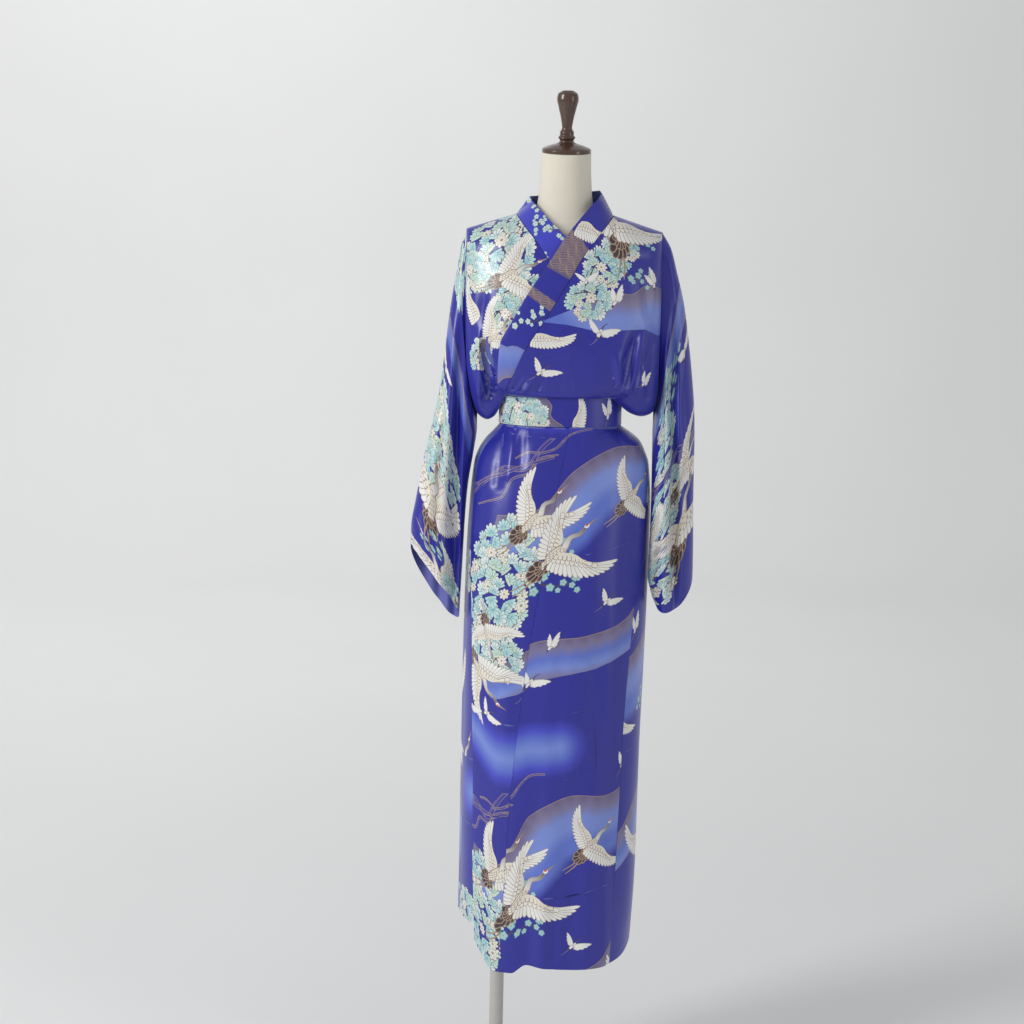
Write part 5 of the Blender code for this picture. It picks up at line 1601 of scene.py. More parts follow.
def printed_cloth(name, cloth, flat, art, materials, thickness):
    """A closed thin shell of cloth: its printed face, a plain face inside, and the rim between them."""
    places, triangles, shape_of, shapes = cut_up(flat, art)
    u, v = flat.unroll(places)
    outer = cloth.at(u, v)
    normal = cloth.facing(u, v)
    across = np.cross(outer[triangles[:, 1]] - outer[triangles[:, 0]],
                      outer[triangles[:, 2]] - outer[triangles[:, 0]])
    turned = (across * normal[triangles[:, 0]]).sum() < 0
    colours = dye(places, triangles, shape_of, shapes)
    if turned:
        triangles, colours = triangles[:, ::-1], colours[:, ::-1]
    count = len(outer)
    edges = np.concatenate([triangles[:, [0, 1]], triangles[:, [1, 2]], triangles[:, [2, 0]]])
    key = edges.min(axis=1) * count + edges.max(axis=1)
    _, first, repeats = np.unique(key, return_index=True, return_counts=True)
    rim = edges[first[repeats == 1]]
    found, under, same = plain_side(flat, places, rim)
    u, v = flat.unroll(found)
    below = cloth.at(u, v)
    below_normal = cloth.facing(u, v)
    kept = same >= 0
    below[kept], below_normal[kept] = outer[same[kept]], normal[same[kept]]
    below = below - below_normal * thickness
    number = {int(p): count + i for i, p in enumerate(same) if p >= 0}
    across = np.cross(below[under[:, 1]] - below[under[:, 0]], below[under[:, 2]] - below[under[:, 0]])
    if (across * below_normal[under[:, 0]]).sum() > 0:
        under = under[:, ::-1]
    rim_faces = [(b, a, number[int(a)]) for a, b in rim] + [(b, number[int(a)], number[int(b)]) for a,
                                                            b in rim]
    faces = np.concatenate([triangles, under + count, np.array(rim_faces)])
    made = add_mesh(name, np.concatenate([outer, below]), faces, *materials)
    mesh = made.data
    plain_colours = np.tile(ink("blue"), (len(under) + len(rim_faces), 3, 1))
    colours = np.concatenate([colours, plain_colours]).reshape(-1, 3)
    layer = mesh.color_attributes.new("dye", "FLOAT_COLOR", "CORNER")
    layer.data.foreach_set("color", np.concatenate([colours, np.ones((len(colours), 1))], axis=1).ravel())
    within = np.zeros(len(faces), int)
    within[len(triangles):len(triangles) + len(under)] = 1
    mesh.polygons.foreach_set("material_index", within)
    mesh.normals_split_custom_set_from_vertices(np.concatenate([normal, -below_normal]).tolist())
    return made


# Creases finer than the main folds, seen from the front or the back: their two ends, width and height, and
# over which shares of their length they come up and go down. Their heights are given one by one
CREASE_COLUMNS = "x_top z_top x_bottom z_bottom width height rise end".split()
BODICE_FRONT_CREASES = {
    "columns": CREASE_COLUMNS,
    "rows": [
        (0.1140, 1.401, 0.1065, 1.286, 0.0063, -0.0048, 0.6, 0.05),
        (0.1240, 1.385, 0.1085, 1.284, 0.0044, 0.0035, 0.5, 0.05),
        (0.1620, 1.400, 0.1190, 1.282, 0.0063, -0.0051, 0.7, 0.05),
        (0.1500, 1.372, 0.1150, 1.283, 0.0050, 0.0038, 0.5, 0.05),
        (0.0760, 1.345, 0.0985, 1.284, 0.0060, -0.0020, 0.7, 0.08),
        (0.0630, 1.312, 0.0800, 1.284, 0.0045, 0.0014, 0.6, 0.10),
        (0.0210, 1.322, 0.0215, 1.283, 0.0018, 0.0007, 0.4, 0.20),
        (0.0000, 1.308, -0.0040, 1.284, 0.0050, -0.0012, 0.5, 0.20),
        (-0.0340, 1.310, -0.0400, 1.284, 0.0055, -0.0016, 0.6, 0.15),
        (-0.0500, 1.314, -0.0740, 1.284, 0.0050, -0.0026, 0.6, 0.10),
        (-0.0400, 1.322, -0.0660, 1.285, 0.0040, 0.0018, 0.6, 0.10),
        (-0.0640, 1.325, -0.0850, 1.285, 0.0045, -0.0022, 0.6, 0.10),
        (0.0400, 1.480, 0.1000, 1.400, 0.0100, -0.0016, 0.4, 0.50),
        (-0.0150, 1.420, 0.0700, 1.345, 0.0110, -0.0014, 0.4, 0.50),
        (0.1350, 1.500, 0.1500, 1.390, 0.0088, -0.0032, 0.5, 0.40),
        (0.1500, 1.520, 0.1610, 1.420, 0.0063, 0.0022, 0.5, 0.40),
    ],
}
BODICE_UNDER_CREASES = {
    "columns": CREASE_COLUMNS,
    "rows": [
        (-0.1300, 1.360, -0.1120, 1.284, 0.0050, -0.0039, 0.6, 0.05),
        (-0.1420, 1.390, -0.1200, 1.282, 0.0056, -0.0045, 0.6, 0.05),
        (-0.1510, 1.350, -0.1290, 1.275, 0.0050, 0.0024, 0.5, 0.05),
        (-0.1350, 1.480, -0.1500, 1.380, 0.0088, -0.0027, 0.5, 0.40),
        (-0.0900, 1.460, -0.1250, 1.380, 0.0090, -0.0014, 0.4, 0.50),
    ],
}
BODICE_BACK_CREASES = {
    "columns": CREASE_COLUMNS,
    "rows": [
        (-0.1460, 1.450, -0.1140, 1.283, 0.0050, -0.0030, 0.6, 0.05),
        (-0.1210, 1.400, -0.1080, 1.284, 0.0040, 0.0022, 0.5, 0.05),
        (-0.0750, 1.350, -0.0880, 1.284, 0.0060, -0.0022, 0.6, 0.08),
        (-0.0450, 1.330, -0.0480, 1.284, 0.0050, -0.0018, 0.6, 0.10),
        (-0.0120, 1.345, -0.0160, 1.284, 0.0050, 0.0014, 0.6, 0.10),
        (0.0250, 1.330, 0.0260, 1.284, 0.0050, -0.0018, 0.6, 0.10),
        (0.0600, 1.350, 0.0700, 1.284, 0.0055, -0.0022, 0.6, 0.08),
        (0.0900, 1.380, 0.1000, 1.284, 0.0045, 0.0018, 0.5, 0.05),
        (0.1450, 1.460, 0.1160, 1.283, 0.0050, -0.0030, 0.6, 0.05),
        (0.0000, 1.520, 0.0000, 1.340, 0.0200, -0.0016, 0.5, 0.50),
    ],
}
SKIRT_FRONT_CREASES = {
    "columns": CREASE_COLUMNS,
    "rows": [
        (-0.1000, 1.222, -0.1040, 1.165, 0.0030, -0.0016, 0.05, 0.6),
        (-0.0780, 1.222, -0.0790, 1.178, 0.0028, -0.0014, 0.05, 0.6),
        (-0.0550, 1.222, -0.0590, 1.185, 0.0035, 0.0010, 0.05, 0.6),
        (-0.0200, 1.222, -0.0150, 1.170, 0.0060, -0.0008, 0.05, 0.7),
        (0.0300, 1.222, 0.0400, 1.150, 0.0070, -0.0008, 0.05, 0.7),
        (0.0700, 1.222, 0.0950, 1.140, 0.0060, -0.0010, 0.05, 0.7),
        (0.0960, 1.222, 0.1250, 1.160, 0.0050, -0.0012, 0.05, 0.7),
        (0.0600, 1.130, 0.0480, 0.700, 0.0182, 0.0024, 0.4, 0.4),
        (0.1020, 1.100, 0.0900, 0.640, 0.0156, 0.0024, 0.4, 0.4),
        (-0.0150, 0.900, 0.0000, 0.400, 0.0169, 0.0024, 0.4, 0.4),
        (0.0320, 0.980, 0.0200, 0.560, 0.0156, 0.0024, 0.4, 0.4),
        (-0.0900, 0.950, -0.0850, 0.520, 0.0156, 0.0024, 0.4, 0.4),
        (0.0700, 0.620, 0.0620, 0.250, 0.0143, 0.0028, 0.5, 0.1),
        (0.0980, 0.560, 0.0950, 0.250, 0.0117, 0.0028, 0.5, 0.1),
        (-0.0100, 0.500, -0.0120, 0.250, 0.0130, 0.0028, 0.5, 0.1),
        (0.0250, 0.460, 0.0200, 0.250, 0.0104, 0.0024, 0.5, 0.1),
    ],
}
SKIRT_BACK_CREASES = {
    "columns": CREASE_COLUMNS,
    "rows": [
        (-0.0880, 1.222, -0.1050, 1.100, 0.0060, 0.0016, 0.05, 0.6),
        (-0.0500, 1.222, -0.0560, 1.080, 0.0060, -0.0016, 0.05, 0.6),
        (0.0080, 1.222, 0.0060, 1.090, 0.0060, -0.0014, 0.05, 0.6),
        (0.0600, 1.222, 0.0680, 1.080, 0.0060, -0.0016, 0.05, 0.6),
        (0.0000, 0.900, 0.0100, 0.300, 0.0168, 0.0026, 0.4, 0.2),
        (-0.1100, 0.800, -0.1000, 0.300, 0.0132, 0.0022, 0.4, 0.2),
        (0.1000, 0.820, 0.0950, 0.300, 0.0144, 0.0026, 0.4, 0.2),
    ],
}
SLEEVE_LEFT_CREASES = {
    "columns": CREASE_COLUMNS,
    "rows": [
        (-0.1850, 1.440, -0.1990, 1.100, 0.0055, 0.0025, 0.4, 0.4),
        (-0.2000, 1.300, -0.2180, 0.980, 0.0066, -0.0031, 0.4, 0.3),
        (-0.2260, 1.200, -0.2480, 0.970, 0.0066, -0.0028, 0.5, 0.3),
        (-0.1620, 1.300, -0.1780, 0.950, 0.0055, -0.0028, 0.4, 0.3),
        (-0.1780, 1.120, -0.1900, 0.900, 0.0050, 0.0025, 0.4, 0.2),
        (-0.2100, 1.080, -0.2080, 0.920, 0.0055, 0.0025, 0.4, 0.2),
    ],
}
SLEEVE_RIGHT_CREASES = {
    "columns": CREASE_COLUMNS,
    "rows": [
        (0.1950, 1.450, 0.2180, 1.050, 0.0055, 0.0025, 0.4, 0.4),
        (0.2080, 1.350, 0.2300, 1.000, 0.0066, -0.0028, 0.4, 0.3),
        (0.1720, 1.380, 0.1830, 0.980, 0.0050, -0.0031, 0.4, 0.3),
        (0.1860, 1.300, 0.1960, 0.960, 0.0050, 0.0025, 0.4, 0.3),
        (0.2000, 1.180, 0.2090, 0.930, 0.0050, -0.0028, 0.4, 0.2),
    ],
}
CREASE_SIDES = (0.010, 0.050)  # depths from the side of the body between which creases fade in
SLEEVE_CREASE_START = (0.06, 0.20)
# Slow waves that keep the cloth from lying quite even: how fast they run across and up, and their height
RIPPLES = {
    "columns": "across up phase height".split(),
    "rows": [
        (61.0, 9.0, 0.4, 0.00070),
        (-97.0, 14.0, 1.9, 0.00035),
        (143.0, 21.0, 3.3, 0.00016),
        (33.0, -24.0, 5.1, 0.00070),
        (211.0, -30.0, 2.2, 0.00008),
    ],
}

# Finer divisions than the part's source has
COLLAR_FINE = (0.125, 49, 13)  # rows of the bodice between sections, sections behind the neck, points across
COLLAR_OUT = -1
COLLAR_EDGE = (0.0009, 0.0002)  # how much lower the band lies at its edges, and one point further in
FINE_SIDES = 96
HALVINGS = 26
FINE = 0.0025  # between the lines on which the cloth's form is worked out
COARSE = 2  # how many of those lines go to one of its mesh
STRAIGHT = 0.08  # bends of the print's outlines below this are left out, as a sine
OFF_LINE = 0.00006  # how far a point that is left out may lie from the line that takes its place
ON_RIM = 1e-6

# Stitches: each line runs along a piece's edge at a distance from it
STITCH_COLUMNS = "node edge inset".split()
STITCHES = {
    "columns": STITCH_COLUMNS,
    "rows": [
        ("skirt_over", "bottom", 0.020),
        ("skirt_overlap", "bottom", 0.020),
        ("skirt_under", "bottom", 0.020),
        ("skirt_back", "bottom", 0.020),
        ("skirt_overlap", "start", 0.012),
        ("sleeve_left", "bottom", 0.016),
        ("sleeve_right", "bottom", 0.016),
        ("belt", "top", 0.0025),
        ("belt", "bottom", 0.0025),
    ],
}

# A stitch's corners and middle: share of its length, of its width to one side, and of its width outward
STITCH_SHAPE = [(0.0, 0.0, 0.0), (0.5, -0.5, 0.2), (1.0, 0.0, 0.0), (0.5, 0.5, 0.2), (0.5, 0.0, 0.6)]


def creased(folds, fade=None):
    """A function that gives the height of creases and ripples at places on the cloth."""

    def height(points, v):
        x, y, z = points[..., 0], points[..., 1], points[..., 2]
        total = np.zeros_like(x)
        for x_top, z_top, x_bottom, z_bottom, width, high, rise, end in folds["rows"]:
            t = (z_top - z) / (z_top - z_bottom)
            middle = x_top + (x_bottom - x_top) * t
            ends = smooth(t / rise) * smooth((1.0 - t) / end)
            total = total + high * ends * np.exp(-(((x - middle) / width) ** 2))
        for across, up, phase, high in RIPPLES["rows"]:
            total = total + high * np.sin(across * x + up * z + phase)
        return total * (step(np.abs(y), CREASE_SIDES) if fade is None else fade(points, v))

    return height


def sleeve_fade(points, v):
    """Creases on a sleeve begin below the armhole."""
    return step(v, SLEEVE_CREASE_START)


def bodice_fade(points, v):
    """Creases on the bodice end at its sides, and behind the belt."""
    return step(np.abs(points[..., 1]), CREASE_SIDES) * (1.0 - step(v, (TURN_ROW - 0.5, TURN_ROW + 1.0)))


def fine_collar():
    """The collar as a sheet, with its edges rounded down."""
    gap, behind, points_across = COLLAR_FINE
    sections = []
    for row in np.arange(COLLAR_ROWS["over"], -gap / 2, -gap):
        sections.append(collar_front(row, OVER_SEAM, OVER_EDGE, OVER_COLLAR_RISE))
    for turn in np.linspace(0.0, math.pi, behind)[1:-1]:
        sections.append(collar_back(turn))
    for row in np.arange(0, COLLAR_ROWS["under"] + gap / 2, gap):
        sections.append(collar_front(row, UNDER_SEAM, UNDER_EDGE, -UNDER_COLLAR_INSET))
    share = np.linspace(0.0, 1.0, points_across)[:, None]
    grid = []
    for outer, free, lie, rise in sections:
        places = outer + (free - outer) * share
        chest = -bodice_depth(places[:, 0], places[:, 2], True) - rise
        hold = lie * np.sin(math.pi * share[:, 0]) ** COLLAR_ROUND
        places[:, 1] = places[:, 1] + (chest - places[:, 1]) * hold
        grid.append(places)
    grid = np.array(grid)
    made = Cloth(grid, COLLAR_OUT, share[:, 0])
    edge, beside = COLLAR_EDGE
    for column_number, drop in ((0, edge), (1, beside), (-2, beside), (-1, edge)):
        grid[:, column_number] = grid[:, column_number] - made.normals[:, column_number] * drop
    return Cloth(grid, COLLAR_OUT, share[:, 0])


def belt_place(u, v):
    """A point of the belt's outer face: round it from the back over the left, and down."""
    turn = u * math.pi * BELT_TURN
    half, deep = BELT_HALF
    front = np.cos(turn) > 0
    depth = deep * profile(np.sin(turn), CLOTH_POWER)
    top, bottom = BELT_Z[1], BELT_Z[0]
    z = top + (bottom - top) * v
    return np.stack([half * np.sin(turn), np.where(front, -depth, depth), z], axis=-1)


BELT_TURN = 0.9985  # the belt's ends meet at the back


def sheets():
    """Every piece of cloth as a fine grid, by its node's name."""
    rows = np.arange(LAST_ROW + 1, dtype=float)
    half = SKIRT_SEAM / 2
    over = skirt_panel(line("overlap_seam", half), line("right_seam", -half), HEM_OVER)
    overlap = skirt_panel(line("free_edge"), line("overlap_seam", -half), HEM_OVER)
    beneath = skirt_panel(level(LEFT_SEAM + half), line("hidden_edge"), HEM_UNDER, 0.0)
    back = skirt_panel(line("right_seam", half), level(LEFT_SEAM + 360 - half), HEM_OVER)
    left = sleeve_place(SLEEVE_LEFT, SLEEVE_LEFT_FRONT_FOLDS, SLEEVE_LEFT_BACK_FOLDS, False)
    right = sleeve_place(SLEEVE_RIGHT, SLEEVE_RIGHT_FRONT_FOLDS, SLEEVE_RIGHT_BACK_FOLDS, True)
    round_places = np.linspace(0, 2 * ARMHOLE_ROWS, 41)
    wide = np.linspace(0, 1, 21)
    front = creased(SKIRT_FRONT_CREASES)
    behind = creased(SKIRT_BACK_CREASES)
    shapes = {
        "bodice_over": woven(over_place, wide, rows, -1, None, creased(BODICE_FRONT_CREASES, bodice_fade)),
        "bodice_under": woven(under_place, wide, rows, -1, under_inset,
                              creased(BODICE_UNDER_CREASES, bodice_fade)),
        "bodice_back": woven(back_place, back_columns(), rows, 1, None,
                             creased(BODICE_BACK_CREASES, bodice_fade)),
        "collar": fine_collar(),
        "skirt_over": woven(over, wide, SKIRT_ROWS, -1, None, front),
        "skirt_overlap": woven(overlap, wide, SKIRT_ROWS, -1, None, front),
        "skirt_under": woven(beneath, wide, SKIRT_ROWS, -1, under_skirt_inset),
        "skirt_back": woven(back, wide, SKIRT_ROWS, -1, None, behind),
        "sleeve_left": woven(left, round_places, SLEEVE_ROWS, 1, None,
                             creased(SLEEVE_LEFT_CREASES, sleeve_fade)),
        "sleeve_right": woven(right, round_places, SLEEVE_ROWS, -1, None,
                              creased(SLEEVE_RIGHT_CREASES, sleeve_fade)),
        "belt": woven(belt_place, np.linspace(-1, 1, 41), np.linspace(0, 1, 5), -1),
    }
    return shapes


# Where each flat piece has its x of 0, as a share of the way across, how much narrower it is than its lines
# make it, and how far its print is shifted
PRINT_PLACES = {
    "columns": "node zero narrow across down".split(),
    "rows": [
        ("bodice_over", 1.0, 1.0, 0.0, 0.0),
        ("bodice_under", 0.0, 1.0, 0.0, 0.0),
        ("bodice_back", 0.5, 1.0, 0.08, 0.05),
        ("collar", 0.5, 1.0, 0.0, 0.0),
        ("skirt_over", 0.0, 1.0, 0.0, 0.0),
        ("skirt_overlap", 1.0, 1.0, 0.0, 0.0),
        ("skirt_under", 0.5, 1.0, -0.10, 0.10),
        ("skirt_back", 0.5, 1.0, -0.09, -0.25),
        ("sleeve_left", 0.5, 0.5, 0.0, 0.0),
        ("sleeve_right", 0.5, 0.5, 0.0, 0.0),
        ("belt", 0.5, 1.0, 0.0, 0.0),
    ],
}


def make_cloth(materials):
    """The cut pieces of cloth, printed."""
    drawings = motifs()
    everywhere = repeated(drawn(REPEAT, drawings))
    own = {
        "bodice_over": drawn(BODICE_OVER_PRINT, drawings),
        "bodice_under": drawn(BODICE_UNDER_PRINT, drawings),
        "sleeve_left": drawn(SLEEVE_LEFT_PRINT, drawings),
        "sleeve_right": drawn(SLEEVE_RIGHT_PRINT, drawings),
        "collar": drawn(COLLAR_PRINT, drawings),
        "belt": drawn(BELT_PRINT, drawings),
    }
    walls = {"collar": COLLAR_WALL, "belt": BELT_WALL}
    places = {row[0]: row[1:] for row in PRINT_PLACES["rows"]}
    shapes = sheets()
    for node, cloth in shapes.items():
        zero, narrow, across, down = places[node]
        flat = Flat(cloth, zero, narrow, (across, down))
        made = printed_cloth(node + "_cloth", cloth, flat, own.get(node, everywhere), materials,
                             walls.get(node, SHELL))
        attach(made, "root")
        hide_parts(node)
    return shapes


def make_stitches(shapes, thread):
    """Rows of small stitches along hems and edges."""
    long, gap, wide = STITCH
    for node_name, edge, inset in STITCHES["rows"]:
        cloth = shapes[node_name]
        turned = edge in ("start", "end")
        points = cloth.points.transpose(1, 0, 2) if turned else cloth.points
        points = points[::-1] if edge in ("bottom", "end") else points
        away = np.cumsum(np.linalg.norm(np.diff(points[:40], axis=0), axis=-1), axis=0)
        depth = np.array([np.interp(inset, away[:, i],
                                    np.arange(1, 1 + len(away))) for i in range(away.shape[1])])
        depth = depth if edge in ("top", "start") else len(points) - 1 - depth
        line_of = np.arange(len(depth), dtype=float)
        u_at, v_at = (depth, line_of) if turned else (line_of, depth)
        path = cloth.at(u_at, v_at)
        run = np.concatenate([[0], np.cumsum(np.linalg.norm(np.diff(path, axis=0), axis=-1))])
        starts = np.arange(gap, run[-1] - long - gap, long + gap)
        corners = []
        for part, aside, lift in STITCH_SHAPE:
            at = starts + part * long
            u, v = np.interp(at, run, u_at), np.interp(at, run, v_at)
            ahead = cloth.at(np.interp(at + STEP, run, u_at), np.interp(at + STEP, run, v_at))
            here, normal = cloth.at(u, v), cloth.facing(u, v)
            side = np.cross(normal, ahead - here)
            side = side / np.maximum(np.linalg.norm(side, axis=-1, keepdims=True), 1e-12)
            corners.append(here + side * aside * wide + normal * lift * wide)
        corners = np.stack(corners, axis=1)
        faces = []
        for i in range(len(starts)):
            a = 5 * i
            faces += [(a, a + 1, a + 4), (a + 1, a + 2, a + 4), (a + 2, a + 3, a + 4), (a + 3, a, a + 4),
                      (a, a + 3, a + 2, a + 1)]
        made = add_mesh(f"stitches_{node_name}_{edge}", corners.reshape(-1, 3), faces, thread)
        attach(made, "root")


def ring(half, front, back, z, sides, power):
    """A closed section: half width, depth in front and behind, and height."""
    turn = np.arange(sides) * 2 * math.pi / sides
    across = np.sin(turn)
    deep = np.where(np.cos(turn) > 0, front, back)
    depth = deep * profile(across, power) * np.where(np.cos(turn) > 0, -1.0, 1.0)
    return np.stack([half * across, depth, np.full(sides, z)], axis=-1)


def loft(name, rings, material):
    """A closed body through rings, its ends closed."""
    rings = np.asarray(rings, float)
    count, sides = rings.shape[:2]
    faces = [tuple(range(sides))[::-1]]
    for row in range(count - 1):
        for i in range(sides):
            after = (i + 1) % sides
            faces.append((row * sides + i, row * sides + after, (row + 1) * sides + after,
                          (row + 1) * sides + i))
    faces.append(tuple((count - 1) * sides + i for i in range(sides)))
    made = add_mesh(name, rings.reshape(-1, 3), faces, material)
    made.data.set_sharp_from_angle(angle=math.radians(40))
    return made


def make_form(cloth):
    """The dress form, with its neck leaning to the front."""
    rings = []
    heights = column(TORSO, "z")
    for z in np.concatenate([heights[:3], np.linspace(heights[3], heights[-1], 60)]):
        rings.append(ring(*(read(TORSO, name, z) for name in ("half", "front", "back")), z, FINE_SIDES,
                          FORM_POWER))
    heights = column(NECK, "z")
    for z in np.linspace(heights[0], heights[-1], 40):
        half, depth = read(NECK, "half", z), read(NECK, "depth", z)
        rings.append(ring(half, depth, depth, z, FINE_SIDES, 2.0))
    for share in (1.0, 0.985):
        radius = NECK_TOP_RADIUS * share
        top = ring(radius, radius, radius, NECK_TOP_Z - 0.0006 * (share == 1.0), FINE_SIDES, 2.0)
        top[:, 2] = top[:, 2] + top[:, 1] * math.tan(NECK_TILT)
        rings.append(top)
    return loft("form_cloth", rings, cloth)


def make_cap(wood):
    """The turned cap on the neck."""
    lean = np.array([[1, 0, 0],
                     [0, math.cos(NECK_TILT), -math.sin(NECK_TILT)],
                     [0, math.sin(NECK_TILT), math.cos(NECK_TILT)]])
    seat = np.array([0.0, 0.0, NECK_TOP_Z])
    radii, heights = column(CAP, "radius"), column(CAP, "height")
    at = np.linspace(0, len(radii) - 1, 12 * len(radii))
    order = np.arange(len(radii))
    radii, heights = through(order, radii, at), through(order, heights, at)
    for share in np.linspace(0, math.pi / 2, 8)[1:-1]:
        radii = np.append(radii, CAP["rows"][-1][0] * math.cos(share))
        heights = np.append(heights,
                            CAP["rows"][-1][1] + (CAP_HEIGHT - CAP["rows"][-1][1]) * math.sin(share))
    rings = [ring(r, r, r, h, FINE_SIDES, 2.0) @ lean.T + seat for r, h in zip(radii, heights)]
    return loft("neck_cap_wood", rings, wood)


def make_stand(paint):
    """The pole and the base plate."""
    ends = (BASE_HEIGHT + GAP, TORSO_BOTTOM_Z - GAP)
    shift = np.array([POLE_X, 0.0, 0.0])
    pole = [ring(POLE_RADIUS, POLE_RADIUS, POLE_RADIUS, z, 64, 2.0) + shift for z in np.linspace(*ends, 12)]
    turn = np.linspace(0, math.pi / 2, 6)
    radii = list(BASE_RADIUS - BASE_EDGE / 2 + BASE_EDGE / 2 * np.sin(turn))
    heights = list(BASE_EDGE / 2 * (1 - np.cos(turn)))
    radii += list(BASE_RADIUS - BASE_EDGE + BASE_EDGE * np.cos(turn))
    heights += list(BASE_HEIGHT - BASE_EDGE + BASE_EDGE * np.sin(turn))
    plate = [ring(r, r, r, z, 128, 2.0) for r, z in zip(radii, heights)]
    return loft("pole_tube", pole, paint), loft("base_disc", plate, paint)


def blank(name, roughness, metallic=0.0):
    """A material, its node tree to add nodes to, and its shader, with roughness and metallic set."""
    made = bpy.data.materials.new(name)
    made.use_nodes = True
    tree = made.node_tree
    shader = tree.nodes["Principled BSDF"]
    shader.inputs["Roughness"].default_value = roughness
    shader.inputs["Metallic"].default_value = metallic
    return made, tree, shader


def node(tree, kind, **values):
    """A new node with values for its inputs."""
    made = tree.nodes.new("ShaderNode" + kind)
    for name, value in values.items():
        made.inputs[name.replace("_", " ")].default_value = value
    return made


def stretched(tree, across, round_, up):
    """Places on the object, scaled along each axis."""
    place = tree.nodes.new("ShaderNodeTexCoord")
    scale = node(tree, "Mapping", Scale=(across, round_, up))
    tree.links.new(place.outputs["Object"], scale.inputs["Vector"])
    return scale.outputs["Vector"]


def noise(tree, vector, scale, detail=3.0):
    """A noise texture on a place."""
    made = node(tree, "TexNoise", Scale=scale, Detail=detail)
    tree.links.new(vector, made.inputs["Vector"])
    return made.outputs["Fac"]


def ranged(tree, value, low, high):
    """A value from 0 to 1 spread between two others."""
    made = node(tree, "MapRange", To_Min=low, To_Max=high)
    tree.links.new(value, made.inputs["Value"])
    return made.outputs["Result"]


def mixed(tree, factor, first, second, blend="MIX"):
    """Two colours mixed by a factor."""
    made = tree.nodes.new("ShaderNodeMix")
    made.data_type = "RGBA"
    made.blend_type = blend
    for socket, value in (("Factor", factor), ("A", first), ("B", second)):
        target = next(s for s in made.inputs if s.name == socket and s.enabled)
        if isinstance(value, bpy.types.NodeSocket):
            tree.links.new(value, target)
        else:
            target.default_value = value
    return next(s for s in made.outputs if s.enabled)


def bumped(tree, shader, height, strength, distance):
    """A bump on a shader from a height."""
    made = node(tree, "Bump", Strength=strength, Distance=distance)
    tree.links.new(height, made.inputs["Height"])
    tree.links.new(made.outputs["Normal"], shader.inputs["Normal"])


def weave(tree, across, up):
    """The height of a fine weave: long floats with their ends on a slant."""
    wave = node(tree, "TexWave", Scale=1.0, Distortion=1.5, Detail=1.0)
    wave.bands_direction = "DIAGONAL"
    tree.links.new(stretched(tree, across, across, up), wave.inputs["Vector"])
    return wave.outputs["Fac"]


def satin(name, roughness, pale):
    """Printed satin: its dyes, slightly uneven, over a fine slanting weave with a soft gloss."""
    made, tree, shader = blank(name, roughness)
    colour = tree.nodes.new("ShaderNodeAttribute")
    colour.attribute_name = "dye"
    cloudy = noise(tree, stretched(tree, 1, 1, 1), 22.0)
    thread = weave(tree, 900, 500)
    uneven = mixed(tree, ranged(tree, cloudy, 0.0, 0.16), colour.outputs["Color"], (0.012, 0.012, 0.16, 1.0))
    washed = mixed(tree, pale, uneven, (0.30, 0.33, 0.62, 1.0))
    woven = mixed(tree, ranged(tree, thread, 0.0, 0.10), washed, (0.0, 0.0, 0.03, 1.0))
    tree.links.new(woven, shader.inputs["Base Color"])
    tree.links.new(ranged(tree, cloudy, roughness - 0.05, roughness + 0.05), shader.inputs["Roughness"])
    shader.inputs["Specular IOR Level"].default_value = 0.62
    shader.inputs["Sheen Weight"].default_value = 0.18
    shader.inputs["Sheen Roughness"].default_value = 0.45
    shader.inputs["Sheen Tint"].default_value = (0.62, 0.66, 1.0, 1.0)
    bumped(tree, shader, thread, 0.12, 0.0002)
    return made


def form_cloth():
    """Cream jersey, with fine ribs."""
    made, tree, shader = blank("form_jersey", 0.85)
    rib = weave(tree, 1400, 900)
    cloudy = noise(tree, stretched(tree, 1, 1, 1), 30.0)
    base = mixed(tree, ranged(tree, cloudy, 0.0, 0.5), (0.82, 0.78, 0.66, 1.0), (0.74, 0.69, 0.56, 1.0))
    ribbed = mixed(tree, ranged(tree, rib, 0.0, 0.22), base, (0.50, 0.44, 0.32, 1.0))
    tree.links.new(ribbed, shader.inputs["Base Color"])
    shader.inputs["Sheen Weight"].default_value = 0.3
    bumped(tree, shader, rib, 0.3, 0.0003)
    return made


def wood():
    """Dark polished wood with its grain upright."""
    made, tree, shader = blank("dark_wood", 0.30)
    grain = noise(tree, stretched(tree, 90, 90, 7), 3.0, 6.0)
    base = mixed(tree, grain, (0.020, 0.008, 0.004, 1.0), (0.115, 0.048, 0.022, 1.0))
    tree.links.new(base, shader.inputs["Base Color"])
    tree.links.new(ranged(tree, grain, 0.24, 0.40), shader.inputs["Roughness"])
    shader.inputs["Coat Weight"].default_value = 0.8
    shader.inputs["Coat Roughness"].default_value = 0.10
    bumped(tree, shader, grain, 0.10, 0.0004)
    return made


def paint():
    """Pale grey paint on steel, a little uneven."""
    made, tree, shader = blank("grey_paint", 0.38, 0.35)
    cloudy = noise(tree, stretched(tree, 1, 1, 1), 60.0, 5.0)
    base = mixed(tree, cloudy, (0.50, 0.49, 0.45, 1.0), (0.60, 0.59, 0.55, 1.0))
    tree.links.new(base, shader.inputs["Base Color"])
    tree.links.new(ranged(tree, cloudy, 0.30, 0.46), shader.inputs["Roughness"])
    bumped(tree, shader, cloudy, 0.05, 0.0002)
    return made


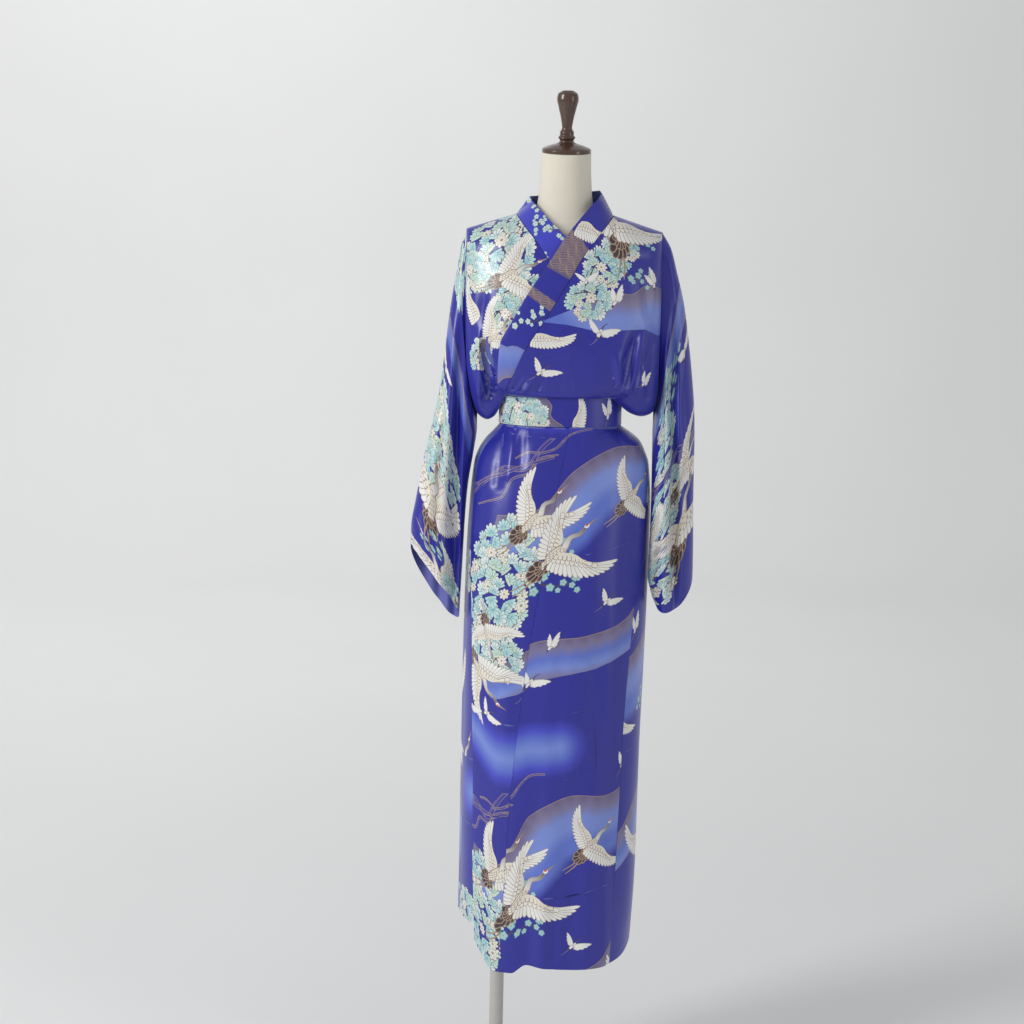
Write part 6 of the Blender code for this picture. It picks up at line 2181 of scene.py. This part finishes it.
def thread():
    """Blue sewing thread, twisted."""
    made, tree, shader = blank("blue_thread", 0.5)
    twist = weave(tree, 3000, 3000)
    colour = mixed(tree, twist, (0.030, 0.032, 0.36, 1.0), (0.060, 0.064, 0.52, 1.0))
    tree.links.new(colour, shader.inputs["Base Color"])
    bumped(tree, shader, twist, 0.3, 0.0001)
    return made


def make_camera():
    """The camera, at the photograph's angle."""
    data = bpy.data.cameras.new("camera")
    data.lens = CAMERA_LENS
    data.sensor_width = CAMERA_SENSOR
    made = bpy.data.objects.new("camera", data)
    bpy.context.scene.collection.objects.link(made)
    right = np.array([1.0, 0.0, 0.0])
    up = np.array([0.0, math.sin(CAMERA_PITCH), math.cos(CAMERA_PITCH)])
    back = np.array([0.0, -math.cos(CAMERA_PITCH), math.sin(CAMERA_PITCH)])
    c, s = math.cos(CAMERA_ROLL), math.sin(CAMERA_ROLL)
    axes = np.stack([right * c + up * s, up * c - right * s, back], axis=1)
    made.matrix_world = Matrix([[*axes[i], CAMERA_PLACE[i]] for i in range(3)] + [[0, 0, 0, 1]])
    bpy.context.scene.camera = made


def area_light(name, place, aim, size, power, colour=(1, 1, 1)):
    """A rectangular lamp that points at a place."""
    data = bpy.data.lights.new(name, "AREA")
    data.shape = "RECTANGLE"
    data.size, data.size_y = size
    data.energy = power
    data.color = colour
    made = bpy.data.objects.new(name, data)
    bpy.context.scene.collection.objects.link(made)
    away = np.array(place, float) - np.array(aim, float)
    away = away / np.linalg.norm(away)
    side = np.cross([0, 0, 1], away)
    side = side / np.linalg.norm(side)
    up = np.cross(away, side)
    made.matrix_world = Matrix([[side[i], up[i], away[i], place[i]] for i in range(3)] + [[0, 0, 0, 1]])
    return made


BACKDROP = (5.2, 1.4)  # how far back the floor runs, and the radius of its curve up


def make_stage():
    """A pale floor that curves up into a backdrop, and soft studio light."""
    flat, bend = BACKDROP
    outline = [(-9.0, 0.0), (flat, 0.0)]
    for turn in np.linspace(0, math.pi / 2, 12)[1:]:
        outline.append((flat + bend * math.sin(turn), bend - bend * math.cos(turn)))
    outline.append((flat + bend, 8.0))
    points = [(x, y, z) for x in (-9.0, 9.0) for y, z in outline]
    count = len(outline)
    faces = [(i, count + i, count + i + 1, i + 1) for i in range(count - 1)]
    paper, tree, shader = blank("studio_paper", 0.9)
    cloudy = noise(tree, stretched(tree, 1, 1, 1), 1.2)
    shade = mixed(tree, cloudy, (0.83, 0.83, 0.825, 1.0), (0.87, 0.87, 0.865, 1.0))
    tree.links.new(shade, shader.inputs["Base Color"])
    add_mesh("backdrop", points, faces, paper)
    world = bpy.data.worlds.new("studio")
    world.use_nodes = True
    world.node_tree.nodes["Background"].inputs["Color"].default_value = (0.97, 0.98, 1.0, 1.0)
    world.node_tree.nodes["Background"].inputs["Strength"].default_value = 0.48
    bpy.context.scene.world = world
    area_light("window", (-3.2, -1.9, 2.7), (0.0, 0.0, 1.15), (1.0, 2.2), 86.0)
    area_light("fill", (3.2, -2.2, 1.6), (0.0, 0.0, 1.0), (0.8, 2.2), 15.0)
    area_light("wall", (-2.0, 2.6, 4.6), (-2.2, 6.4, 1.8), (4.5, 1.2), 95.0)
    bpy.context.scene.view_settings.view_transform = "Standard"


def carry(piece, name):
    """Puts a piece on the frame in the place of a node."""
    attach(piece, "root")
    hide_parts(name)


def main():
    """Make every piece, the stage and the camera."""
    shapes = make_cloth((satin("satin", 0.30, 0.0), satin("satin_inside", 0.6, 0.35)))
    make_stitches(shapes, thread())
    carry(make_form(form_cloth()), "form_torso")
    carry(make_cap(wood()), "neck_cap")
    pole, plate = make_stand(paint())
    carry(pole, "pole")
    carry(plate, "base_plate")
    make_stage()
    make_camera()


main()
